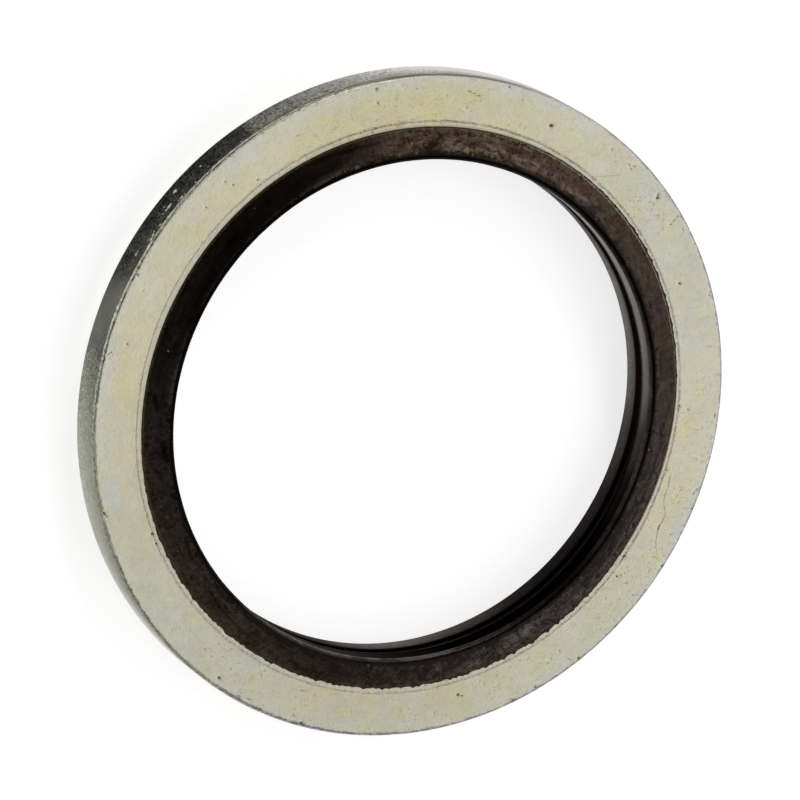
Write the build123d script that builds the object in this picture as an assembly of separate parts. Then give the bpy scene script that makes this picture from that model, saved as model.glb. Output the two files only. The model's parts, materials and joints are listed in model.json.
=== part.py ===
"""Bonded sealing washer for a 22 mm thread.

A flat steel ring carries a rubber seal, moulded into its bore and bonded to it all round. The seal
stands a little proud of both steel faces, so that clamping the washer squeezes its two lips. It
lies flat on its lower lip. Lengths are in millimetres, with the origin on the axis at the level
that the lower lip rests on, and +Z up along the axis.
"""

from build123d import *
from math import acos, degrees
import os

# Rubber seal, from the bore outwards
seal_bore_diameter = 22.7
seal_width = 1.3
lip_rise = 0.4
lip_tip_radius = 0.25
waist_width = 0.64
waist_root_width = 0.1
waist_depth = 0.28

# Steel ring round it
steel_width = 2.35
steel_thickness = 2.0
outer_edge_bevel = 0.12
bore_edge_bevel = 0.1

# Radii and levels that follow from those sizes
seal_bore_radius = seal_bore_diameter / 2
bond_radius = seal_bore_radius + seal_width
rubber_edge_radius = bond_radius + bore_edge_bevel
steel_face = steel_thickness / 2
middle_height = lip_rise + steel_face

# Each section is drawn in this upright plane: x is the distance from the axis, and y is the height
# above the middle of the washer.
section_plane = Plane(origin=(0, 0, middle_height), x_dir=(1, 0, 0), z_dir=(0, -1, 0))


def steel_section():
    """A bar of rectangular section with its sharp edges taken off."""
    with BuildSketch() as section:
        with Locations((bond_radius, 0)):
            Rectangle(steel_width, steel_thickness, align=(Align.MIN, Align.CENTER))
        chamfer(section.vertices().group_by(Axis.X)[-1], outer_edge_bevel)
        chamfer(section.vertices().group_by(Axis.X)[0], bore_edge_bevel)
    return section.sketch


def tangent_point(centre, radius, start):
    """Where a straight line from start, on the right of a circle, touches the circle's upper side."""
    reach = start - centre
    turn = degrees(acos(radius / reach.length))
    return centre + reach.normalized().rotate(Axis.Z, turn) * radius


def rubber_section():
    """Two lips back to back, with a waist groove between them, filling the steel ring's bore.

    The groove's side opens to the bore wall, which rises to the rounded tip of the lip. A straight
    flank falls from there to the edge of the steel face. The lower half mirrors the upper.
    """
    waist_root = Vector(seal_bore_radius + waist_depth, waist_root_width / 2)
    waist_mouth = Vector(seal_bore_radius, waist_width / 2)
    tip_centre = Vector(seal_bore_radius + lip_tip_radius, steel_face + lip_rise - lip_tip_radius)
    wall_top = tip_centre - Vector(lip_tip_radius, 0)
    rubber_edge = Vector(rubber_edge_radius, steel_face)
    flank_top = tangent_point(tip_centre, lip_tip_radius, rubber_edge)

    with BuildSketch() as section:
        with BuildLine():
            Polyline((waist_root.X, 0), waist_root, waist_mouth, wall_top)
            RadiusArc(wall_top, flank_top, lip_tip_radius)
            Polyline(flank_top, rubber_edge, (rubber_edge.X, 0))
            mirror(about=Plane.XZ)
        make_face()
        add(steel_section(), mode=Mode.SUBTRACT)
    return section.sketch


def turned(section):
    """The full ring that has this section all the way round."""
    return revolve(section_plane * section, axis=Axis.Z)


nodes = {
    "steel_ring": turned(steel_section()),
    "rubber_seal": turned(rubber_section()),
}

os.makedirs("parts", exist_ok=True)
for name, solid in nodes.items():
    export_step(solid, f"parts/{name}.step")
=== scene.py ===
"""A bonded sealing washer: a zinc-plated steel ring with a black rubber seal bonded into its bore.

Each piece is a closed section carried round the ring's axis, worked out on a grid of azimuths by
section points.
"""

import json
import math

import bpy
import numpy as np
from bpy.props import FloatProperty, FloatVectorProperty, IntProperty, PointerProperty
from mathutils import Matrix, Vector


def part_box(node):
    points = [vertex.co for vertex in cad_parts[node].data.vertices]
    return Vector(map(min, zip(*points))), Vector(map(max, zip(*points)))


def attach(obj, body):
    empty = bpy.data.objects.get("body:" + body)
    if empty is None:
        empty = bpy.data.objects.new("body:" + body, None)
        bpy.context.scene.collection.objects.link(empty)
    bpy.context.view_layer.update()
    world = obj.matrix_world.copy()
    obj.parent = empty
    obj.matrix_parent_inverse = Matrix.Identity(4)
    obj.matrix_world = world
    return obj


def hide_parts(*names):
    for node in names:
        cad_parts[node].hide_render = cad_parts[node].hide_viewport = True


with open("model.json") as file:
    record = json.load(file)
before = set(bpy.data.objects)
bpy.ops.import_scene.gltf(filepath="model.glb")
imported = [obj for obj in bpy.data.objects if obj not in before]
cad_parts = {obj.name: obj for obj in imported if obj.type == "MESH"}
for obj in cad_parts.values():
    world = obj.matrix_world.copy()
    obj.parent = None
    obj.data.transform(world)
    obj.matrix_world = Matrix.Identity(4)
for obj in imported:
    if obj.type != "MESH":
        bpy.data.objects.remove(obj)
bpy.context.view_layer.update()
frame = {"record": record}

bl_info = {
    "name": "Bonded Sealing Washer",
    "version": (1, 0, 0),
    "blender": (4, 5, 0),
    "location": "View3D > Sidebar > Washer",
    "description": "Builds a bonded sealing washer, its finishes and its studio",
    "category": "Add Mesh",
}

STEEL_LOW, STEEL_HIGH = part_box("steel_ring")
RUBBER_LOW, RUBBER_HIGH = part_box("rubber_seal")

MM = 0.001
TURN = 2 * math.pi
# What a field of cones reads away from every mark.
FAR = -3.0
MID_HEIGHT = (STEEL_LOW.z + STEEL_HIGH.z) / 2
HALF_THICKNESS = (STEEL_HIGH.z - STEEL_LOW.z) / 2
HALF_SEAL_HEIGHT = (RUBBER_HIGH.z - RUBBER_LOW.z) / 2
OUTER_RADIUS = min(STEEL_HIGH.x, STEEL_HIGH.y)


def bore_radius():
    """Radius of the seal's bore in metres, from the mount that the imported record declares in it."""
    for mount in frame["record"]["mounts"]:
        if mount["name"] == "seal_bore":
            return mount["dims"]["r_mm"] * MM
    raise RuntimeError("the record has no mount named seal_bore")


SEAL_BORE = bore_radius()
SEAL_WIDTH = 1.3 * MM
BOND_RADIUS = SEAL_BORE + SEAL_WIDTH

# ------------------------------------------------------------------------------------ marks by place

# Tints on the upper face of the steel. Each is: azimuth in degrees, radius in mm, half length along
# the ring in mm, half width across the ring in mm, strength.
YELLOW_PATCHES = (
    (48, 14.3, 0.8, 0.4, 0.6), (45, 14.5, 0.7, 0.25, 1.3), (57, 13.3, 0.7, 0.4, 0.4),
    (74, 13.9, 0.4, 0.5, 0.7), (83.5, 14.45, 0.8, 0.35, 1.4), (79.5, 14.3, 0.3, 0.3, 1.0),
    (80, 14.2, 0.8, 0.3, 0.4), (92.7, 13.07, 0.13, 0.10, 4.0), (100, 13.0, 1.2, 0.15, 0.8),
    (105, 13.8, 1.6, 0.4, 0.4), (137, 13.5, 0.9, 0.4, 1.0), (139, 13.3, 0.4, 0.2, 0.6),
    (170, 13.7, 1.6, 0.5, 0.4), (200, 13.5, 0.7, 0.4, 0.5), (277.5, 14.4, 0.45, 0.35, 1.5),
    (282, 14.5, 0.6, 0.3, 0.6), (292, 13.8, 1.4, 0.4, 0.3), (325, 14.45, 0.6, 0.3, 1.1),
    (320.5, 14.6, 0.4, 0.2, 0.7), (7, 14.45, 0.7, 0.25, 0.7), (351, 13.7, 1.2, 0.5, 0.4),
)
BLUE_GREY_PATCHES = (
    (8, 13.3, 1.2, 0.5, 0.8), (20, 14.7, 2.6, 0.3, 0.7), (38, 13.8, 0.7, 0.6, 0.5),
    (37, 14.6, 0.9, 0.3, 1.0), (58, 14.6, 0.9, 0.3, 0.8), (70, 14.7, 1.4, 0.3, 1.0),
    (98, 14.7, 0.9, 0.2, 0.7), (121, 14.6, 1.6, 0.3, 1.0), (128, 14.3, 1.2, 0.3, 0.6),
    (165, 14.7, 1.6, 0.3, 0.9), (190, 14.4, 1.4, 0.4, 0.9), (191.5, 14.2, 0.3, 0.2, 0.9),
    (214, 14.1, 2.6, 0.6, 0.6), (250, 14.6, 1.6, 0.3, 0.7), (306, 14.2, 1.6, 0.6, 0.6),
    (338, 14.8, 1.8, 0.2, 1.0),
)
# Pits in the upper face: azimuth in degrees, radius in mm, size in mm.
PITS = (
    (61.6, 13.86, 0.13), (18.8, 13.59, 0.09), (35.6, 14.44, 0.10), (36.1, 14.56, 0.06),
    (35.2, 14.09, 0.05), (43.3, 14.55, 0.07), (44.9, 14.02, 0.05), (48.7, 14.42, 0.06),
    (96.6, 14.72, 0.09), (96.7, 14.09, 0.07), (72.0, 14.86, 0.08), (161.9, 14.07, 0.07),
    (152.0, 14.30, 0.04), (150.0, 14.84, 0.08), (133.8, 13.99, 0.06), (128.2, 14.19, 0.06),
    (127.4, 13.82, 0.06), (123.2, 13.27, 0.06), (192.2, 14.84, 0.08), (199.4, 13.02, 0.09),
    (201.6, 13.02, 0.07), (230.8, 14.56, 0.10), (236.0, 13.72, 0.05), (249.0, 14.84, 0.11),
    (279.3, 13.64, 0.10), (280.0, 13.74, 0.06), (289.0, 14.86, 0.07), (302.9, 14.84, 0.09),
    (300.7, 13.96, 0.06), (353.6, 13.40, 0.07), (354.3, 12.99, 0.07), (341.2, 12.99, 0.06),
    (322.2, 12.98, 0.09), (322.3, 13.06, 0.05), (324.5, 14.90, 0.11), (326.3, 14.65, 0.06),
    (342.2, 13.78, 0.05), (318.2, 13.30, 0.08), (317.5, 13.22, 0.05),
)
# Short scratches in the upper face: azimuth and radius of each end, and half width in mm.
FACE_SCRATCHES = (
    (30.5, 14.80, 29.9, 14.28, 0.045), (44.4, 14.48, 43.2, 14.36, 0.05),
    (28.0, 14.70, 27.3, 14.64, 0.05), (36.2, 14.60, 35.7, 14.46, 0.06),
    (15.4, 14.92, 14.4, 14.76, 0.05), (92.4, 14.76, 91.5, 14.62, 0.04),
    (76.6, 14.16, 79.8, 14.42, 0.05), (110.5, 13.92, 113.0, 13.98, 0.03),
    (124.9, 14.92, 124.2, 14.80, 0.05), (164.4, 14.84, 163.8, 14.66, 0.06),
    (193.2, 14.72, 191.8, 14.90, 0.05), (238.5, 14.66, 235.5, 14.78, 0.04),
    (246.5, 13.42, 249.8, 13.50, 0.03), (293.5, 14.86, 294.0, 14.72, 0.05),
    (289.6, 14.88, 288.6, 14.74, 0.05), (301.6, 14.72, 301.2, 14.52, 0.05),
    (317.8, 14.62, 317.3, 14.50, 0.05), (327.3, 14.38, 326.5, 14.54, 0.03),
    (324.8, 14.22, 327.2, 14.02, 0.022), (329.9, 13.75, 330.8, 13.73, 0.05),
    (319.8, 13.52, 318.3, 13.38, 0.04), (322.8, 14.44, 322.4, 14.50, 0.045),
    (330.3, 14.52, 330.0, 14.42, 0.045), (339.6, 14.86, 339.0, 14.72, 0.05),
    (353.0, 14.80, 352.2, 14.72, 0.06), (8.2, 14.95, 7.9, 14.88, 0.05),
    (12.6, 14.96, 12.2, 14.90, 0.05), (26.4, 14.96, 26.0, 14.90, 0.045),
    (33.0, 14.97, 32.2, 14.93, 0.045), (38.4, 14.97, 38.0, 14.90, 0.04),
    (45.6, 14.97, 45.0, 14.92, 0.045), (56.8, 14.96, 55.6, 14.92, 0.05),
    (79.4, 14.90, 78.2, 14.88, 0.06), (89.8, 14.92, 89.6, 14.84, 0.04),
    (241.5, 14.90, 240.6, 14.84, 0.05), (253.5, 14.94, 252.0, 14.92, 0.04),
    (273.6, 14.90, 273.4, 14.82, 0.04), (284.6, 14.92, 284.2, 14.86, 0.05),
    (292.0, 14.90, 291.6, 14.80, 0.045), (311.4, 14.93, 311.0, 14.88, 0.045),
    (336.4, 14.92, 335.6, 14.84, 0.045), (339.4, 14.80, 338.2, 14.66, 0.045),
    (347.0, 14.94, 346.6, 14.88, 0.045), (357.2, 14.94, 356.8, 14.88, 0.04),
)
# Knocked places on the rim, painted with bright glints: azimuth in degrees, height above the middle in
# mm, size in mm.
RIM_KNOCK_GLINTS = (
    (139.2, 0.23, 0.08), (138.4, 0.25, 0.11), (137.7, 0.24, 0.14), (137.2, 0.22, 0.10),
    (135.0, -0.30, 0.17), (134.8, -0.16, 0.08), (135.2, 0.62, 0.12), (134.4, 0.66, 0.09),
    (135.9, 0.60, 0.08), (141.0, 0.64, 0.12), (143.8, 0.70, 0.13), (143.0, 0.64, 0.12),
    (142.4, 0.50, 0.07), (144.2, 0.48, 0.08), (147.3, 0.20, 0.10), (146.7, 0.20, 0.07),
    (129.0, -0.20, 0.09), (128.4, 0.38, 0.07), (131.8, 0.62, 0.08), (124.6, 0.66, 0.07),
    (121.6, 0.62, 0.08), (119.2, 0.60, 0.07), (119.4, -0.10, 0.05), (138.2, -0.14, 0.08),
    (146.4, -0.55, 0.05), (152.0, 0.88, 0.10), (154.0, 0.86, 0.08), (156.4, 0.84, 0.16),
    (157.6, 0.86, 0.16), (158.6, 0.82, 0.12),
)
# White specks of dust on the rubber's upper flank: azimuth in degrees, radius in mm, size in mm.
DUST_SPECKS = (
    (42.3, 11.66, 0.07), (41.7, 11.84, 0.05), (13.2, 11.67, 0.06), (72.3, 12.45, 0.07),
    (178.2, 11.57, 0.07), (161.3, 12.18, 0.07), (127.0, 12.37, 0.05), (222.5, 11.60, 0.06),
    (205.0, 12.31, 0.05), (203.0, 11.90, 0.05), (286.3, 11.80, 0.07), (258.8, 11.66, 0.07),
    (345.0, 11.63, 0.07), (341.8, 11.57, 0.06), (312.9, 11.75, 0.07), (309.7, 11.81, 0.05),
)
# Smears on the rubber's upper flank: azimuth and radius of each end, half width in mm, strength.
DARK_SMEARS = (
    (10.0, 12.30, 16.0, 12.32, 0.07, 0.4), (1.0, 12.55, 2.8, 12.50, 0.14, 0.6),
    (0.8, 11.90, 3.0, 11.86, 0.14, 0.6), (46.6, 11.64, 43.2, 12.14, 0.06, 1.2),
    (44.6, 11.70, 43.2, 11.90, 0.12, 0.7), (46.0, 11.64, 42.0, 11.66, 0.12, 0.9),
    (42.0, 11.68, 38.5, 11.66, 0.10, 1.0), (29.0, 11.64, 21.0, 11.66, 0.08, 1.0),
    (57.5, 11.70, 54.0, 11.74, 0.08, 0.7), (64.3, 12.12, 63.0, 11.98, 0.12, 0.5),
    (65.4, 12.25, 67.4, 12.23, 0.12, 1.1), (66.5, 12.22, 69.0, 12.20, 0.07, 0.8),
    (68.0, 12.33, 80.0, 12.28, 0.06, 0.6), (84.2, 12.32, 86.2, 11.84, 0.075, 1.2),
    (83.8, 12.36, 84.6, 12.20, 0.06, 0.6), (82.0, 12.30, 84.0, 12.38, 0.05, 0.7),
    (97.5, 12.33, 104.0, 12.38, 0.07, 1.1), (104.0, 12.40, 112.0, 12.52, 0.09, 1.0),
    (95.0, 11.66, 99.0, 11.70, 0.07, 0.8), (107.0, 12.06, 119.0, 12.14, 0.20, 0.8),
    (108.0, 11.94, 114.0, 11.94, 0.05, 1.2), (124.0, 12.20, 124.0, 12.20, 0.20, 1.0),
    (134.0, 12.05, 136.0, 12.08, 0.20, 1.0), (144.0, 11.86, 151.0, 11.88, 0.07, 1.0),
    (147.5, 12.50, 150.0, 12.54, 0.06, 1.0), (171.0, 12.30, 173.5, 12.14, 0.14, 1.1),
    (165.0, 12.30, 169.0, 12.24, 0.08, 0.6), (181.0, 11.84, 184.0, 11.82, 0.14, 1.1),
    (186.5, 12.30, 187.5, 12.05, 0.09, 0.6), (202.8, 11.78, 208.0, 11.93, 0.06, 1.2),
    (208.0, 11.88, 211.5, 11.77, 0.05, 0.8), (216.3, 12.07, 218.9, 12.10, 0.045, 1.5),
    (219.0, 12.13, 221.2, 12.18, 0.05, 1.0), (222.0, 12.23, 233.0, 12.30, 0.05, 0.7),
    (225.0, 11.66, 240.0, 11.64, 0.08, 1.0), (236.0, 11.66, 239.5, 11.70, 0.10, 0.8),
    (243.2, 11.62, 246.4, 11.90, 0.08, 1.0), (246.5, 12.56, 250.0, 12.30, 0.035, 0.9),
    (247.0, 12.34, 249.8, 12.46, 0.035, 0.8), (250.2, 11.80, 251.5, 12.15, 0.14, 1.1),
    (256.0, 12.40, 250.0, 12.05, 0.25, 0.5), (261.0, 12.35, 264.5, 12.45, 0.13, 0.8),
    (262.0, 12.20, 263.5, 11.95, 0.10, 0.7), (265.6, 12.60, 264.4, 12.20, 0.06, 0.8),
    (267.4, 12.58, 266.2, 12.05, 0.06, 0.8), (269.8, 12.62, 268.6, 12.15, 0.07, 1.0),
    (272.2, 12.60, 271.4, 12.25, 0.07, 0.9), (274.6, 12.55, 273.2, 12.10, 0.06, 0.8),
    (277.4, 12.24, 280.5, 12.24, 0.09, 1.1), (277.6, 12.16, 278.6, 11.90, 0.09, 1.2),
    (280.2, 12.10, 282.6, 11.96, 0.13, 1.2), (281.0, 11.86, 279.0, 11.74, 0.12, 1.0),
    (276.8, 12.30, 277.2, 12.00, 0.06, 0.8), (288.8, 12.20, 288.2, 11.78, 0.07, 1.3),
    (289.2, 11.80, 287.4, 11.74, 0.12, 1.1), (285.0, 11.66, 298.0, 11.64, 0.10, 0.8),
    (328.0, 12.30, 344.0, 12.24, 0.06, 1.0), (309.0, 12.20, 326.0, 12.18, 0.07, 0.7),
)
LIGHT_SMEARS = (
    (47.0, 11.95, 54.0, 11.78, 0.12, 0.5), (60.5, 11.98, 71.0, 12.02, 0.16, 0.7),
    (61.0, 12.45, 66.0, 12.52, 0.05, 0.5), (86.8, 12.30, 89.5, 11.90, 0.14, 0.7),
    (90.0, 12.10, 97.0, 12.00, 0.20, 0.4), (75.0, 11.86, 80.0, 11.80, 0.10, 0.5),
    (283.0, 12.40, 297.0, 12.25, 0.25, 0.5), (345.5, 12.00, 349.5, 11.85, 0.12, 0.6),
    (195.0, 12.30, 198.0, 12.10, 0.14, 0.5), (161.0, 12.22, 157.0, 12.05, 0.12, 0.6),
    (148.5, 12.52, 146.0, 12.44, 0.04, 0.8), (126.0, 12.42, 128.5, 12.42, 0.05, 0.8),
    (149.0, 11.98, 158.0, 12.02, 0.14, 0.5), (270.0, 12.56, 269.4, 12.10, 0.04, 0.6),
    (275.4, 12.20, 274.6, 11.90, 0.05, 0.6), (311.0, 11.95, 314.0, 11.72, 0.08, 0.5),
    (151.0, 11.66, 172.0, 11.66, 0.08, 1.4), (103.0, 11.65, 120.0, 11.62, 0.09, 2.5),
    (120.0, 11.59, 150.0, 11.59, 0.07, 2.5),
)

# ------------------------------------------------------------------------------- shapes by azimuth

# Each curve below is read by azimuth in degrees, straight between its stops.
# How far the feather of flash runs out over the steel, as a share of its width.
FLASH_REACH = (
    (0, 0.3), (15, 0.5), (32, 0.55), (56, 0.25), (75, 0.05), (180, 0.1), (200, 0.5), (215, 0.65),
    (240, 0.6), (270, 0.75), (296, 1.0), (312, 0.7), (326, 0.2), (344, 0.05), (352, 0.1),
    (360, 0.3),
)
# How far down the steel's bevel the foot of the flank stops, as a share of the most that it does.
FOOT_SLIDE = (
    (0, 0.2), (25, 0.2), (50, 0.5), (70, 0.9), (100, 1.0), (150, 0.8), (185, 0.2), (200, 0.0),
    (315, 0.0), (330, 0.7), (348, 0.8), (360, 0.2),
)

# ----------------------------------------------------------------------------------------- surfaces


def azimuths(count):
    """Equal steps of azimuth round the whole ring, in radians, without the repeated last one."""
    return np.arange(count) * (TURN / count)


def ripple(angle, waves, seed):
    """A smooth wavy value near -1 to 1 round the ring: the sum over waves of a sine of that many
    periods, each with a random height and a random start, over the sum of the heights."""
    draw = np.random.default_rng(seed)
    waves = np.asarray(waves, float)
    height = draw.uniform(0.4, 1.0, waves.size)
    start = draw.uniform(0.0, TURN, waves.size)
    value = (height * np.sin(np.multiply.outer(angle, waves) + start)).sum(-1)
    return value / height.sum()


def by_azimuth(angle, stops):
    """The value at each azimuth of a curve given by stops in degrees, straight between them."""
    return np.interp(np.degrees(angle), *np.transpose(stops))


def turn_from(angle, azimuth):
    """Signed angle from an azimuth in degrees to each grid azimuth, up to half a turn either way."""
    return (angle - math.radians(azimuth) + math.pi) % TURN - math.pi


def spots(angle, across, marks, arm=None):
    """A soft field of spots: at each grid point the sum over marks of strength times exp(-(along
    squared + beside squared)), where along and beside are the distances from the mark's centre over
    its half length and half width. Azimuth becomes length at arm, or else at the mark's own radius."""
    field = np.zeros(across.shape)
    for azimuth, centre, length, width, strength in marks:
        along = turn_from(angle, azimuth)[:, None] * (arm or centre * MM) / (length * MM)
        beside = (across - centre * MM) / (width * MM)
        field += strength * np.exp(-(along**2) - beside**2)
    return field


def gap_to(angle, across, mark, arm=None):
    """Distance in mm from each grid point to the straight stretch between a mark's two ends, given
    as azimuth and distance across; arm is the radius in mm at which azimuth becomes length, or else
    the middle of the mark's own two."""
    start, start_across, end, end_across = mark[:4]
    arm = arm or (start_across + end_across) / 2
    u, v = turn_from(angle, start)[:, None] * arm, across / MM - start_across
    du, dv = math.radians(end - start) * arm, end_across - start_across
    t = np.clip((u * du + v * dv) / (du * du + dv * dv + 1e-9), 0, 1)
    return np.hypot(u - t * du, v - t * dv)


def smears(angle, across, marks):
    """A soft field: the sum over marks of strength times exp(-(distance over half width) squared)."""
    return sum(mark[5] * np.exp(-((gap_to(angle, across, mark) / mark[4]) ** 2)) for mark in marks)


def nearness(angle, across, marks, arm=None):
    """A cone over each mark: the largest over marks of 1 minus distance over size, at least FAR."""
    cones = [1 - gap_to(angle, across, mark, arm) / mark[4] for mark in marks]
    return np.maximum(np.max(cones, 0), FAR)


def dots(marks):
    """Round marks as stretches whose two ends are one point."""
    return [(azimuth, across, azimuth, across, size) for azimuth, across, size in marks]


def line(start, end, steps):
    """Points of a straight run from start to end, the last left out: start plus t (end - start)."""
    t = np.arange(steps)[:, None] / steps
    return np.asarray(start) + t * (np.asarray(end) - np.asarray(start))


def corner(centre, size, first, last, steps, fullness=2.0):
    """Points round a superellipse corner, the last left out: centre plus size times (cos and sin of
    the angle, each to the power 2 / fullness with its sign kept), the angle running from first to
    last in degrees."""
    angle = np.radians(first + (last - first) * np.arange(steps) / steps)
    reach = np.stack([np.cos(angle), np.sin(angle)], -1)
    return np.asarray(centre) + size * np.sign(reach) * np.abs(reach) ** (2 / fullness)


def outward(section):
    """Unit normals of a closed section whose points run counter-clockwise in (radius, height): the
    tangent between the neighbours of each point, turned a quarter turn clockwise."""
    tangent = np.roll(section, -1, 0) - np.roll(section, 1, 0)
    normal = np.stack([tangent[:, 1], -tangent[:, 0]], -1)
    return normal / np.maximum(np.linalg.norm(normal, axis=1, keepdims=True), 1e-12)


def carried_round(section, steps):
    """Azimuths, and grids of radius and level with the section repeated at every azimuth."""
    angle = azimuths(steps)
    radius, level = (np.repeat(section[None, :, axis], steps, 0) for axis in (0, 1))
    return angle, radius, level


def turned_mesh(name, angle, radius, height, fields):
    """A closed ring from grids of radius and height: x = radius cos(azimuth), y = radius
    sin(azimuth), z = height. Both directions of the grid close on themselves, and its faces point
    outwards. Each field is stored on the points under its own name."""
    rows, columns = radius.shape
    place = np.stack([radius * np.cos(angle)[:, None], radius * np.sin(angle)[:, None], height], -1)
    index = np.arange(rows * columns).reshape(rows, columns)
    ahead, beside = np.roll(index, -1, 0), np.roll(index, -1, 1)
    faces = np.stack([index, ahead, np.roll(ahead, -1, 1), beside], -1).reshape(-1, 4)
    mesh = bpy.data.meshes.new(name)
    mesh.vertices.add(rows * columns)
    mesh.vertices.foreach_set("co", place.astype(np.float32).ravel())
    mesh.loops.add(faces.size)
    mesh.loops.foreach_set("vertex_index", faces.astype(np.int32).ravel())
    mesh.polygons.add(len(faces))
    mesh.polygons.foreach_set("loop_start", np.arange(0, faces.size, 4, dtype=np.int32))
    mesh.update(calc_edges=True)
    mesh.shade_smooth()
    for field, values in fields.items():
        made = mesh.attributes.new(field, "FLOAT", "POINT")
        made.data.foreach_set("value", values.astype(np.float32).ravel())
    if mesh.validate():
        raise RuntimeError(f"the mesh of {name} had faults")
    piece = bpy.data.objects.new(name, mesh)
    bpy.context.scene.collection.objects.link(piece)
    return piece


def put_on_frame(piece, node, material):
    """Gives the piece its material, and has it stand for its CAD node on the one body."""
    piece.data.materials.append(material)
    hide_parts(node)
    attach(piece, "root")


# --------------------------------------------------------------------------------------- steel ring

# Points round each outer edge.
EDGE_STEPS = 5
# How near to the scribed line the points follow it as it strays.
SCRIBE_FOLLOW = 0.16 * MM
# How far the scribed line trembles, and its stray for a curve value of 1.
SCRIBE_TREMBLE = 0.022 * MM
SCRIBE_STRAY = 0.1 * MM
# Scale of the slow unevenness of either piece.
UNEVENNESS = 0.004 * MM


def steel_section(size):
    """The ring's section as (radius, height above the middle), counter-clockwise from the lower face
    at the bond, and the name of the run that each point is on."""
    outer, bond, half = OUTER_RADIUS, BOND_RADIUS, HALF_THICKNESS
    edge, bevel = size.edge_rounding, size.bore_bevel
    scribe, near = size.scribed_radius, 2.0 * size.scribed_width
    flat = outer - edge
    runs = {
        "lower face": line((bond + bevel, -half), (flat, -half), 8),
        "lower edge": corner((flat, edge - half), edge, -90, 0, EDGE_STEPS, size.edge_fullness),
        "rim": line((outer, edge - half), (outer, half - edge), 18),
        "upper edge": corner((flat, half - edge), edge, 0, 90, EDGE_STEPS, size.edge_fullness),
        "upper face": line((flat, half), (scribe + near, half), 24),
        "scribed line": line((scribe + near, half), (scribe - near, half), 8),
        "inner band": line((scribe - near, half), (bond + bevel, half), 3),
        "upper bevel": line((bond + bevel, half), (bond, half - bevel), 2),
        "bond": line((bond, half - bevel), (bond, bevel - half), 2),
        "lower bevel": line((bond, bevel - half), (bond + bevel, -half), 1),
    }
    names = np.concatenate([np.full(len(points), run) for run, points in runs.items()])
    return np.concatenate(list(runs.values())), names


def edge_turn(run):
    """How far round the outer edge each section point is: 0 on the faces, 1 on the rim, and even
    steps between."""
    turn = (run == "rim").astype(float)
    turn[run == "lower edge"] = np.arange(EDGE_STEPS) / EDGE_STEPS
    turn[run == "upper edge"] = 1 - np.arange(EDGE_STEPS) / EDGE_STEPS
    return turn


def rim_dents():
    """Random dents: 150 all over the rim and 26 small ones close together near azimuth 171. Each is:
    azimuth in degrees, height above the middle, half length and half width in mm, strength."""
    draw = np.random.default_rng(11)
    scattered = [
        (draw.uniform(0, 360), draw.uniform(-0.85, 0.85), draw.uniform(0.08, 0.4),
         draw.uniform(0.06, 0.2), draw.uniform(0.3, 1.0))
        for _ in range(150)
    ]
    clustered = [
        (draw.uniform(164, 178), draw.uniform(0.1, 0.9), draw.uniform(0.06, 0.2),
         draw.uniform(0.05, 0.12), 1.0)
        for _ in range(26)
    ]
    return scattered + clustered


def steel_ring(size):
    """The section carried round the axis, its surface pushed in along its normal by the sum of the
    scribed groove, the pits, the scratches, the dents of the rim, the nicks of the edge and a slow
    unevenness."""
    section, run = steel_section(size)
    angle, radius, level = carried_round(section, size.steel_steps)
    normal = outward(section)

    upper = np.isin(run, ("upper face", "scribed line", "inner band"))
    rim = run == "rim"
    edge = (run == "upper edge") | (run == "lower edge")
    from_line = section[:, 0] - size.scribed_radius
    follow = np.where(upper, np.exp(-((from_line / SCRIBE_FOLLOW) ** 2)), 0.0)
    tremble = ripple(angle, (1, 2, 3, 5, 9, 17, 31, 53), 3) * SCRIBE_TREMBLE
    stray = tremble + by_azimuth(angle, SCRIBE_SHIFT) * SCRIBE_STRAY
    radius += stray[:, None] * follow

    groove = np.exp(-((from_line / (0.5 * size.scribed_width)) ** 2)) * upper
    cut = by_azimuth(angle, SCRIBE_STRENGTH) * (0.8 + 0.4 * ripple(angle, (7, 19, 43, 71, 113), 5))
    depth = size.scribed_depth * cut[:, None] * groove
    pits = nearness(angle, radius, dots(PITS))
    scratches = nearness(angle, radius, FACE_SCRATCHES)
    depth += size.pit_depth * np.clip(pits + 0.2, 0, 1) * upper
    depth += 0.4 * size.pit_depth * np.clip(scratches, 0, 1) * upper
    dents = spots(angle, level, rim_dents(), OUTER_RADIUS)
    depth += size.dent_depth * np.clip(dents, 0, 1.2) * (rim | edge)

    nicks = 0.5 + 0.5 * ripple(angle, (37, 59, 83, 127, 179, 241, 307), 13)
    shape = np.sin(np.linspace(0, math.pi, EDGE_STEPS))
    depth[:, run == "upper edge"] += size.nick_depth * (nicks**3)[:, None] * shape
    depth[:, run == "lower edge"] += size.nick_depth * (np.roll(nicks, 211) ** 3)[:, None] * shape

    slow = 0.5 + 0.5 * ripple(angle, (1, 2, 3, 5, 8), 17)
    depth += UNEVENNESS * slow[:, None] * np.isin(run, ("upper face", "lower face"))
    radius -= normal[:, 0] * depth
    level -= normal[:, 1] * depth

    everywhere = np.zeros(radius.shape)
    fields = {
        "yellow_film": spots(angle, radius, YELLOW_PATCHES) * upper,
        "blue_film": spots(angle, radius, BLUE_GREY_PATCHES) * upper,
        "pits": np.where(upper, pits, FAR),
        "scratches": np.where(upper, scratches, FAR),
        "from_scribe": np.where(upper, np.clip(from_line / MM, -1, 1), 1.0) + everywhere,
        "knocks": nearness(angle, level, dots(RIM_KNOCK_GLINTS), OUTER_RADIUS / MM),
        "edge_turn": edge_turn(run) + everywhere,
    }
    return turned_mesh("steel_ring_plated", angle, radius, MID_HEIGHT + level, fields)


# -------------------------------------------------------------------------------------- rubber seal

BOND_POINTS = 4
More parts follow.
